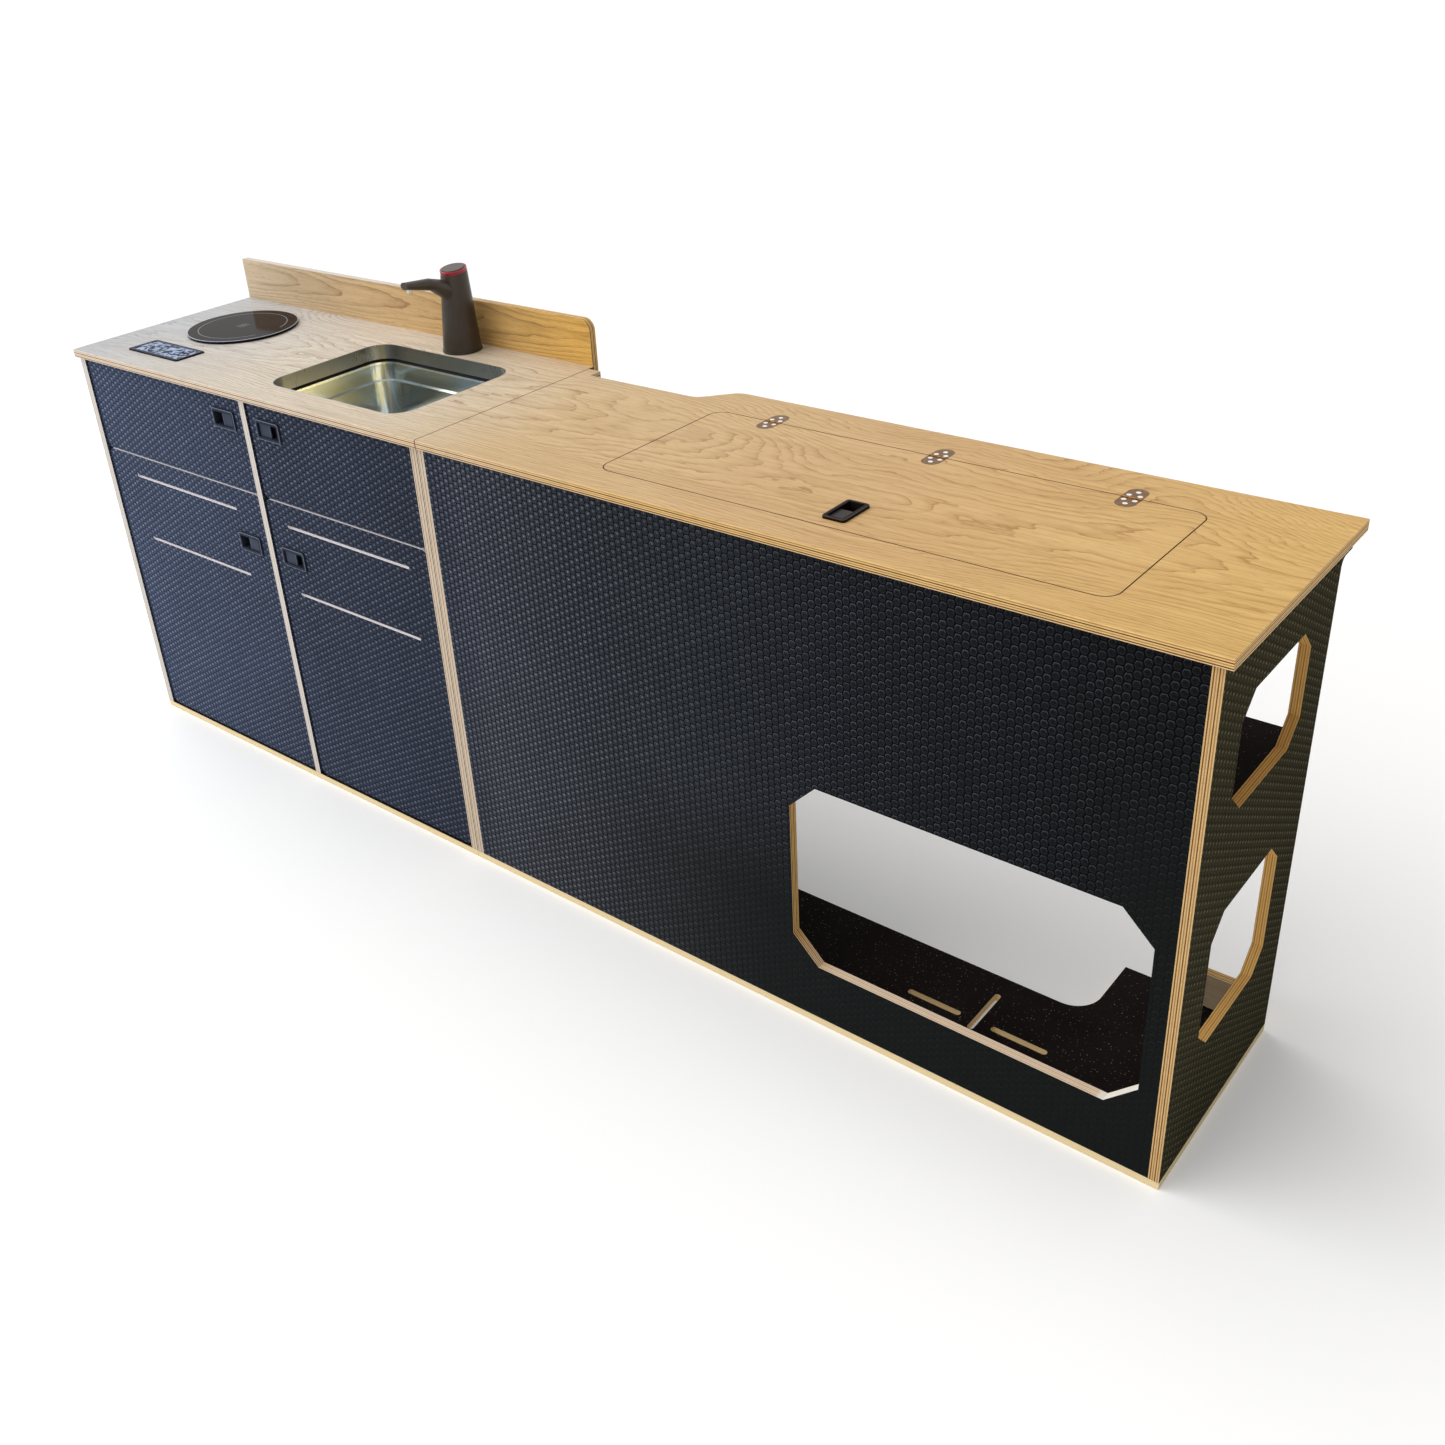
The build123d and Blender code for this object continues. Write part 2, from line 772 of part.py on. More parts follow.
mains_length = window_length * mains_share - 2 * socket_fit
usb_length = window_length * (1 - mains_share) - 2 * socket_fit
mains_x = socket_x - window_length / 2 + socket_fit + mains_length / 2
usb_x = socket_x + window_length / 2 - socket_fit - usb_length / 2

with BuildPart() as mains_socket:
    with BuildSketch(Plane.XY.offset(insert_top)):
        with Locations((mains_x, socket_y)):
            Rectangle(mains_length, window_width - 2 * socket_fit)
    extrude(amount=-socket_depth)
    with BuildSketch(Plane.XY.offset(insert_top)):
        with Locations((mains_x, socket_y + pin_slot_rise / 2)):
            Rectangle(pin_slot_width, pin_slot_length)
        with Locations((mains_x, socket_y - pin_slot_rise / 2)):
            with GridLocations(pin_slot_spread, socket_width, 2, 1):
                Rectangle(pin_slot_length, pin_slot_width)
    extrude(amount=-pin_slot_depth, mode=Mode.SUBTRACT)
save(mains_socket, "mains_socket")

with BuildPart() as usb_socket:
    with BuildSketch(Plane.XY.offset(insert_top)):
        with Locations((usb_x, socket_y)):
            Rectangle(usb_length, window_width - 2 * socket_fit)
    extrude(amount=-socket_depth)
    with BuildSketch(Plane.XY.offset(insert_top)):
        with Locations((usb_x, socket_y)):
            with GridLocations(usb_slot_pitch, usb_slot_pitch, 1, 2):
                Rectangle(usb_slot_length, usb_slot_width)
    extrude(amount=-usb_slot_depth, mode=Mode.SUBTRACT)
save(usb_socket, "usb_socket")

# Tap: the base stands still, and the body turns on its spigot
tap_base_top = top + tap_base_thickness
tap_body_bottom = tap_base_top + tap_float
tap_top_centre_y = tap_y + (tap_base_radius - tap_top_radius) * tap_lean_share
tap_top_z = top + tap_body_height

with BuildPart() as tap_base:
    with BuildSketch(Plane.XY.offset(top)):
        with Locations((sink_x, tap_y)):
            Circle(tap_base_radius)
    extrude(amount=tap_base_thickness)
    with BuildSketch(Plane.XY.offset(tap_base_top)):
        with Locations((sink_x, tap_y)):
            Circle(tap_spigot_radius)
    extrude(amount=tap_spigot_height)
    with BuildSketch(Plane.XY.offset(top)):
        with Locations((sink_x, tap_y)):
            Circle(tap_shank_radius)
    extrude(amount=-tap_shank_length)
    with BuildSketch(Plane.XY.offset(under_top)):
        with Locations((sink_x, tap_y)):
            RegularPolygon(tap_nut_radius, 6)
    extrude(amount=-tap_nut_thickness)
save(tap_base, "tap_base")

tilt = radians(tap_top_tilt)
tap_top_plane = Plane(
    (sink_x, tap_top_centre_y, tap_top_z),
    x_dir=(1, 0, 0),
    z_dir=Vector(0, -tan(tilt), 1),
)
tap_top_axis = Axis(tap_top_plane.origin, tap_top_plane.z_dir)

with BuildPart() as tap_body:
    with BuildSketch(Plane.XY.offset(tap_body_bottom)):
        with Locations((sink_x, tap_y)):
            Circle(tap_base_radius - tap_body_taper)
    with BuildSketch(tap_top_plane):
        Circle(tap_top_radius)
    loft()
    spout_root_y = tap_y
    spout_tip_y = tap_y - spout_reach
    for station_share, next_share in ((0, 0.5), (0.5, 1)):
        for share in (station_share, next_share):
            bend = share * (2 - share)
            station_y = spout_root_y + (spout_tip_y - spout_root_y) * share
            station_z = top + spout_root_height + (spout_tip_height - spout_root_height) * bend
            station_width = spout_root_width + (spout_tip_width - spout_root_width) * bend
            station_depth = spout_root_depth + (spout_tip_depth - spout_root_depth) * bend
            with BuildSketch(Plane.XZ.offset(-station_y)):
                with Locations((sink_x, station_z)):
                    Ellipse(station_width / 2, station_depth / 2)
        loft()
    with Locations((sink_x, tap_y, tap_body_bottom)):
        Cylinder(
            tap_spigot_radius + tap_running_fit,
            tap_spigot_height + tap_float,
            align=(Align.CENTER, Align.CENTER, Align.MIN),
            mode=Mode.SUBTRACT,
        )
    with BuildSketch(tap_top_plane):
        Circle(button_stem_radius + tap_running_fit)
    extrude(amount=-button_stem_length, mode=Mode.SUBTRACT)
    nozzle_y = spout_tip_y + nozzle_setback
    nozzle_top = top + spout_tip_height - spout_tip_depth / 2 + nozzle_sunk
    with BuildSketch(Plane.XY.offset(nozzle_top)):
        with Locations((sink_x, nozzle_y)):
            Circle(nozzle_radius + nozzle_fit)
    extrude(amount=-nozzle_length, mode=Mode.SUBTRACT)
save(tap_body, "tap_body")

with BuildPart() as tap_nozzle:
    with BuildSketch(Plane.XY.offset(nozzle_top - nozzle_fit)):
        with Locations((sink_x, nozzle_y)):
            Circle(nozzle_radius)
            Circle(nozzle_bore_radius, mode=Mode.SUBTRACT)
    extrude(amount=-nozzle_length)
save(tap_nozzle, "tap_nozzle")

with BuildPart() as tap_ring:
    with BuildSketch(tap_top_plane):
        Circle(tap_top_radius)
        Circle(tap_top_radius - ring_wall, mode=Mode.SUBTRACT)
    extrude(amount=ring_height)
    fillet(tap_ring.faces().sort_by(tap_top_axis)[-1].edges(), ring_edge_round)
save(tap_ring, "tap_ring")

with BuildPart() as tap_button:
    with BuildSketch(tap_top_plane.offset(button_travel + button_gap)):
        Circle(tap_top_radius - ring_wall - button_gap)
    extrude(amount=ring_height + button_proud - button_travel - button_gap)
    fillet(tap_button.faces().sort_by(tap_top_axis)[-1].edges(), button_edge_round)
    with BuildSketch(tap_top_plane.offset(button_travel + button_gap)):
        Circle(button_stem_radius)
    extrude(amount=-button_stem_length + button_gap)
save(tap_button, "tap_button")

# Storage module: floor, panels and shelf
arch_left = storage_left + arch_left_margin
arch_length = storage_right - arch_right_margin - arch_left
arch_front = front + arch_from_front

with BuildPart() as storage_base:
    block((storage_left, carcass_front, 0), (storage_right, carcass_back, base_ply))
    floor_bolt_holes(storage_left, storage_right, storage_hole_end_margin)
    with BuildSketch(Plane.XY.offset(base_ply)) as arch:
        with Locations((arch_left + arch_length / 2, (arch_front + carcass_back + overrun) / 2)):
            Rectangle(arch_length, carcass_back + overrun - arch_front)
        fillet(arch.vertices().group_by(Axis.Y)[0], arch_corner)
    extrude(amount=-base_ply, mode=Mode.SUBTRACT)
    slot_x = right - slot_cross_from_right
    with BuildSketch(Plane.XY.offset(base_ply)):
        for turn in (-1, 1):
            with Locations((slot_x + turn * slot_spread, front + slot_from_front)):
                SlotOverall(slot_length, slot_width)
        with Locations((slot_x, front + slot_cross_centre)):
            SlotOverall(slot_length, slot_width, rotation=90)
    extrude(amount=-base_ply, mode=Mode.SUBTRACT)
save(storage_base, "storage_base")

save(upright_panel(storage_left, carcass_front), "storage_left_panel")

upper_cut_bottom = top - upper_cut_from_top - upper_cut_height

with BuildPart() as storage_end_panel:
    add(upright_panel(storage_right - panel_ply, carcass_front).part)
    for low_z, height in ((lower_cut_bottom, lower_cut_height), (upper_cut_bottom, upper_cut_height)):
        with BuildSketch(Plane.YZ.offset(storage_right)):
            chamfered_window(
                (front + end_cut_from_front + end_cut_width / 2, low_z + height / 2),
                end_cut_width,
                height,
                end_cut_chamfer,
            )
        extrude(amount=-panel_ply, mode=Mode.SUBTRACT)
save(storage_end_panel, "storage_end_panel")

with BuildPart() as storage_front_panel:
    block((bay_left, carcass_front, base_ply), (bay_right, carcass_front + panel_ply, under_top))
    with BuildSketch(Plane.XZ.offset(-carcass_front)):
        chamfered_window(
            (right - front_cut_from_right - front_cut_length / 2, front_cut_bottom + front_cut_height / 2),
            front_cut_length,
            front_cut_height,
            front_cut_chamfer,
        )
    extrude(amount=-panel_ply, mode=Mode.SUBTRACT)
save(storage_front_panel, "storage_front_panel")

with BuildPart() as storage_shelf:
    block(
        (bay_left, carcass_front + panel_ply, storage_shelf_top - panel_ply),
        (bay_right, carcass_back, storage_shelf_top),
    )
save(storage_shelf, "storage_shelf")

with BuildPart() as storage_floor_strip:
    block(
        (bay_right - strip_length, carcass_back - panel_ply, base_ply),
        (bay_right, carcass_back, base_ply + strip_height),
    )
save(storage_floor_strip, "storage_floor_strip")


# Counter-flap hinges: a leaf lies flush on each side of the axis, which is at the top face
def leaf_pocket(side):
    """The three pockets for the leaves, in the lid (side -1) or the worktop (side 1)."""
    near = lid_axis_y - side * overrun
    far = lid_axis_y + side * (flap_leaf_length + flap_leaf_fit)
    with BuildSketch(Plane.XY.offset(top)) as pockets:
        for hinge_x in flap_hinge_places:
            leaf_outline(hinge_x, near, far, side, flap_leaf_width + 2 * flap_leaf_fit)
    extrude(pockets.sketch, amount=-flap_leaf_thickness, mode=Mode.SUBTRACT)


def leaf_outline(hinge_x, near, far, side, width):
    """A leaf's outline: square towards the axis, half round at its far end."""
    round_y = far - side * width / 2
    with Locations((hinge_x, (near + round_y) / 2)):
        Rectangle(width, abs(round_y - near))
    with Locations((hinge_x, round_y)):
        Circle(width / 2)


def screw_places(hinge_x, side):
    """Three screws in a leaf: two near the axis and one in the round end."""
    row_y = lid_axis_y + side * screw_row_distance
    return [
        (hinge_x - screw_row_spread, row_y),
        (hinge_x + screw_row_spread, row_y),
        (hinge_x, lid_axis_y + side * screw_end_distance),
    ]


def screw_holes(side):
    """Pilot holes for a leaf's screws."""
    with BuildSketch(Plane.XY.offset(top)) as holes:
        for hinge_x in flap_hinge_places:
            with Locations(*screw_places(hinge_x, side)):
                Circle(screw_radius + screw_fit)
    extrude(holes.sketch, amount=-screw_length - screw_fit, mode=Mode.SUBTRACT)


def hinge_leaves(side, knuckle_spans):
    """Three leaves, each with knuckles over the given spans of its width."""
    outline_gap = knuckle_radius + knuckle_gap
    with BuildPart() as leaves:
        with BuildSketch(Plane.XY.offset(top)):
            for hinge_x in flap_hinge_places:
                near = lid_axis_y + side * outline_gap
                leaf_outline(hinge_x, near, lid_axis_y + side * flap_leaf_length, side, flap_leaf_width)
        extrude(amount=-flap_leaf_thickness)
        for hinge_x in flap_hinge_places:
            for low_share, high_share in knuckle_spans:
                low_x = hinge_x + flap_leaf_width * low_share
                high_x = hinge_x + flap_leaf_width * high_share
                low_y, high_y = sorted((lid_axis_y, lid_axis_y + side * (outline_gap + knuckle_gap)))
                block((low_x, low_y, top - knuckle_radius), (high_x, high_y, top))
                with BuildSketch(Plane.YZ.offset(low_x)):
                    with Locations((lid_axis_y, top)):
                        Circle(knuckle_radius)
                extrude(amount=high_x - low_x)
            for screw_x, screw_y in screw_places(hinge_x, side):
                with Locations((screw_x, screw_y, top)):
                    CounterSinkHole(
                        screw_radius + screw_fit,
                        screw_head_radius + screw_fit,
                        depth=flap_leaf_thickness,
                    )
    return leaves


def hinge_screws(side):
    """Countersunk screws, their heads flush with the leaves."""
    cone = screw_head_radius - screw_radius
    with BuildPart() as screws:
        for hinge_x in flap_hinge_places:
            for screw_x, screw_y in screw_places(hinge_x, side):
                with Locations((screw_x, screw_y, top - cone / 2)):
                    Cone(screw_radius, screw_head_radius, cone)
                with Locations((screw_x, screw_y, top - (cone + screw_length) / 2)):
                    Cylinder(screw_radius, screw_length - cone)
    return screws


outer_knuckle_shares = ((-0.5, -0.2), (0.2, 0.5))
middle_knuckle_shares = ((-0.17, 0.17),)

with BuildPart() as lid_hinge_leaves:
    add(hinge_leaves(-1, middle_knuckle_shares).part)
    with BuildSketch(Plane.YZ.offset(flap_hinge_places[0] - flap_leaf_width)):
        with Locations((lid_axis_y, top)):
            Circle(hinge_pin_radius + knuckle_fit)
    pin_bore_length = flap_hinge_places[-1] - flap_hinge_places[0] + 2 * flap_leaf_width
    extrude(amount=pin_bore_length, mode=Mode.SUBTRACT)
save(lid_hinge_leaves, "lid_hinge_leaves")

with BuildPart() as worktop_hinge_leaves:
    add(hinge_leaves(1, outer_knuckle_shares).part)
    for hinge_x in flap_hinge_places:
        with BuildSketch(Plane.YZ.offset(hinge_x - flap_leaf_width / 2)):
            with Locations((lid_axis_y, top)):
                Circle(hinge_pin_radius)
        extrude(amount=flap_leaf_width)
save(worktop_hinge_leaves, "worktop_hinge_leaves")

save(hinge_screws(-1), "lid_hinge_screws")
save(hinge_screws(1), "worktop_hinge_screws")

# Storage worktop and lid
with BuildPart() as storage_worktop:
    with BuildSketch(Plane.XY.offset(under_top)):
        with BuildLine():
            step_low = (left + notch_end, front + notch_depth)
            step_high = (left + notch_end + step_run, back)
            tab_right = storage_worktop_left + tab_width
            FilletPolyline(
                (tab_right, front + notch_depth),
                step_low,
                step_high,
                (right, back),
                radius=step_round,
            )
            Polyline(
                (right, back),
                (right, front),
                (storage_worktop_left, front),
                (storage_worktop_left, front + tab_depth),
                (tab_right, front + tab_depth),
                (tab_right, front + notch_depth),
            )
        make_face()
    extrude(amount=worktop_ply)
    front_edge = storage_worktop.edges().filter_by(Axis.X).group_by(Axis.Y)[0]
    fillet(front_edge, worktop_edge_round)
    with BuildSketch(Plane.XY.offset(top)):
        with Locations((lid_x, lid_y)):
            RectangleRounded(lid_length, lid_width, lid_corner)
    extrude(amount=-worktop_ply, mode=Mode.SUBTRACT)
    leaf_pocket(1)
    screw_holes(1)
save(storage_worktop, "storage_worktop")

lid_latch_y = lid_front + lid_gap + lid_latch_margin + latch_length / 2
lid_latch_plane = Plane((lid_x, lid_latch_y, top), x_dir=(0, -1, 0), z_dir=(0, 0, 1))
lid_keeper_seat = latch_length / 2 + lid_latch_margin + lid_gap + keeper_thickness * 2

with BuildPart() as storage_lid:
    with BuildSketch(Plane.XY.offset(under_top)):
        with Locations((lid_x, lid_y)):
            RectangleRounded(lid_length - 2 * lid_gap, lid_width - 2 * lid_gap, lid_corner - lid_gap)
    extrude(amount=worktop_ply)
    latch_cut(lid_latch_plane, worktop_ply)
    leaf_pocket(-1)
    screw_holes(-1)
save(storage_lid, "storage_lid")
save_latch(lid_latch_plane, "lid_latch")
keepers.append((lid_latch_plane, lid_keeper_seat))

with BuildPart() as lid_support_frame:
    with BuildSketch(Plane.XY.offset(under_top)):
        with Locations((lid_x, lid_y)):
            Rectangle(lid_length + 2 * frame_outer_margin, lid_width + 2 * frame_outer_margin)
            Rectangle(
                lid_length - 2 * frame_inner_margin,
                lid_width - 2 * frame_inner_margin,
                mode=Mode.SUBTRACT,
            )
    extrude(amount=-frame_ply)
    notch_wall = lid_latch_y - lid_keeper_seat
    block(
        (lid_x - keeper_notch_width / 2, notch_wall, under_top - frame_ply),
        (lid_x + keeper_notch_width / 2, lid_front + frame_inner_margin, under_top),
        mode=Mode.SUBTRACT,
    )
save(lid_support_frame, "lid_support_frame")

with BuildPart() as latch_keepers:
    for keeper_plane, seat in keepers:
        add(latch_keeper(keeper_plane, seat).part)
save(latch_keepers, "latch_keepers")
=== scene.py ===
import math

import bpy
from mathutils import Matrix, Vector


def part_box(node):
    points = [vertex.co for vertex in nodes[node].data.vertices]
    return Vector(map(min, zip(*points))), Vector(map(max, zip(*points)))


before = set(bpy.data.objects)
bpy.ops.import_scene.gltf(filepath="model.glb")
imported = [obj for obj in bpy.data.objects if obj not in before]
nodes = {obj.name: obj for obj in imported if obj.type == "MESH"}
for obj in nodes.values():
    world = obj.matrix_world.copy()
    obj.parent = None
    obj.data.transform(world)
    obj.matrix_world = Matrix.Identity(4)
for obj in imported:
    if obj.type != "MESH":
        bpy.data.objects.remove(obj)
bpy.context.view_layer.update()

MM = 0.001
ROOT_3 = math.sqrt(3)

# Camera, solved from the photograph's corners
CAMERA_PLACE = (1.5366, -1.5476, 1.5237)
CAMERA_AZIMUTH = 41.371
CAMERA_ELEVATION = 28.568
CAMERA_ROLL = -3.979
SENSOR_WIDTH = 36.0
CAMERA_LENS = 36.94
CAMERA_SHIFT = (0.0291, -0.0442)
CAMERA_REACH = 200.0

# Studio
WHITE = (1.0, 1.0, 1.0)
FLOOR_REACH = 60.0
FLOOR_TONES = ((0.89, 0.89, 0.89), (0.91, 0.91, 0.91))
FLOOR_GLOW = 0.16
FILL_STRENGTH = 0.36
SEEN_STRENGTH = 1.0
SUN_DIRECTION = (0.66, 0.32, -1.0)
SUN_STRENGTH = 2.35
SUN_SPREAD = 75
SUN_COLOUR = (1.0, 0.985, 0.96)
PANEL_PLACE = (-3.2, -2.4, 2.2)
PANEL_TARGET = (-0.6, -0.1, 0.5)
PANEL_POWER = 32
PANEL_SIZE = (2.6, 2.0)
PANEL_COLOUR = (0.80, 0.89, 1.0)

# Boards: a skin on both faces, dark sheets within the plywood, and hexagons in the film
FILM_THICKNESS = 0.35 * MM
VENEER_THICKNESS = 0.6 * MM
SHEET_PITCH = 3.15 * MM
OUTER_SHEETS = 2.3 * MM
HEX_PITCH = 12.0 * MM
EMBOSSING = 0.28 * MM
FILM_GLOSS = 0.01
WOOD_GLOSS = 0.18

# Painted shade lines along the lid's gap and the worktops' joint, and the pale underside of their edges
LID_CORNER = 22.0 * MM
LID_GAP = 1.0 * MM
GAP_SHADE_WIDTH = 1.2 * MM
LID_GAP_SHADE = (0.13, 0.055, 0.014)
JOINT_SHADE = (0.15, 0.07, 0.022)
UNDERSIDE_TONE = (0.86, 0.66, 0.44)

# Stretches along the unit over which the tones and their painted light change, and where the storage module
# starts
UPRIGHTS_STRETCH = (-1.1, 0.9)
FRONTS_STRETCH = (-1.1, 1.09)
WORKTOPS_STRETCH = (-1.1, 1.1)
UPSTAND_STRETCH = (-1.1, -0.15)
STORAGE_START = (-0.16, -0.12)
UPSTAND_MIDDLE = 0.822

# Turnings of a board's edge from its first tones to its far ones: axis, start and end
WORKTOP_TURNING = (0, -0.45, 0.25)
UPSTAND_TURNING = (0, -0.7, -0.3)
FRONT_CUT_TURNING = (0, 0.53, 0.60)

# Plywood tones: the pale sheets, and the dark ones between them
WARM_PLY = ((0.95, 0.61, 0.24), (0.12, 0.045, 0.010))
BEIGE_PLY = ((0.86, 0.72, 0.56), (0.26, 0.15, 0.085))
PALE_PLY = ((0.84, 0.78, 0.72), (0.50, 0.41, 0.34))
GOLD_PLY_AND_PAINTED_LIGHT = ((0.98, 0.62, 0.23), (0.60, 0.27, 0.05))
BROWN_PLY = ((0.84, 0.56, 0.26), (0.20, 0.085, 0.022))
BLUSH_PLY = ((0.93, 0.76, 0.58), (0.66, 0.45, 0.28))
STRAW_PLY_AND_PAINTED_LIGHT = ((0.98, 0.82, 0.52), (0.86, 0.64, 0.33))
# Doors' ply: pale wood with a painted lilac reflection of the sky
LILAC_PLY_AND_PAINTED_SKY = ((0.96, 0.93, 0.94), (0.85, 0.79, 0.78))
CREAM = (0.93, 0.90, 0.82)

# Film tones along their stretch, each at its share of the way: painted light on the dark film, navy at the
# kitchen end, black further on, and olive at the end
UPRIGHT_FILM_AND_PAINTED_LIGHT = [
    (0.0, (0.030, 0.040, 0.064)),
    (0.45, (0.014, 0.018, 0.025)),
    (1.0, (0.058, 0.050, 0.029)),
]
# Tones of the painted glints along the stretch
UPRIGHT_PAINTED_GLINTS = [
    (0.0, (0.20, 0.24, 0.33)),
    (0.5, (0.08, 0.09, 0.11)),
    (1.0, (0.20, 0.185, 0.115)),
]
FRONT_FILM_AND_PAINTED_LIGHT = [
    (0.0, (0.050, 0.068, 0.132)),
    (0.2, (0.042, 0.055, 0.102)),
    (0.27, (0.028, 0.036, 0.064)),
    (0.42, (0.024, 0.030, 0.050)),
    (0.47, (0.042, 0.047, 0.066)),
    (0.6, (0.021, 0.025, 0.031)),
    (0.8, (0.009, 0.010, 0.0125)),
    (1.0, (0.0070, 0.0072, 0.0082)),
]
# Tones of the painted glints along the stretch
FRONT_PAINTED_GLINTS = [
    (0.0, (0.36, 0.42, 0.56)),
    (0.42, (0.19, 0.22, 0.29)),
    (0.47, (0.26, 0.29, 0.36)),
    (0.7, (0.12, 0.132, 0.160)),
    (1.0, (0.052, 0.055, 0.062)),
]
FILM_CLOUD = (0.006, 0.007, 0.008)
# Painted shade of a dent in each cell
FILM_DENT_SHADE = (0.003, 0.0035, 0.0045)
# Painted shade in the grooves
FILM_GROOVE_SHADE = (0.0015, 0.0018, 0.0024)
FILM_PALER = (0.060, 0.060, 0.062)
FILM_FAINT = (0.0105, 0.0125, 0.0120)

# Oak figures: how far the trunk leans, how fast its rings follow the square of the offset and the
# length, how much they sway, quiver and stray, and the early and late wood's tones along the stretch,
# partly the oak's own colour and partly painted light, cool grey at the kitchen end and golden at the storage
# end
WORKTOP_FIGURE = {
    "lean": (-0.06, 0.07),
    "arch": 430.0,
    "growth": 9.0,
    "sway": 1.35,
    "quiver": 0.17,
    "stray": 4.0,
    "stretch": WORKTOPS_STRETCH,
    "early": [
        (0.0, (0.53, 0.555, 0.585)),
        (0.2, (0.755, 0.675, 0.565)),
        (0.38, (0.735, 0.63, 0.485)),
        (0.5, (0.69, 0.495, 0.265)),
        (0.75, (0.68, 0.445, 0.21)),
        (1.0, (0.75, 0.485, 0.17)),
    ],
    "late": [
        (0.0, (0.36, 0.33, 0.32)),
        (0.2, (0.36, 0.28, 0.21)),
        (0.38, (0.40, 0.28, 0.17)),
        (0.5, (0.40, 0.235, 0.105)),
        (0.75, (0.40, 0.21, 0.07)),
        (1.0, (0.42, 0.21, 0.045)),
    ],
}
UPSTAND_FIGURE = {
    "lean": (-0.012, 0.016),
    "arch": 2100.0,
    "growth": 5.0,
    "sway": 0.6,
    "quiver": 0.14,
    "stray": 1.5,
    "stretch": UPSTAND_STRETCH,
    "early": [
        (0.0, (0.74, 0.585, 0.40)),
        (0.6, (0.79, 0.535, 0.25)),
        (1.0, (0.93, 0.58, 0.15)),
    ],
    "late": [
        (0.0, (0.40, 0.27, 0.16)),
        (0.6, (0.38, 0.21, 0.09)),
        (1.0, (0.38, 0.17, 0.035)),
    ],
}
OAK_PORE = (0.20, 0.105, 0.035)


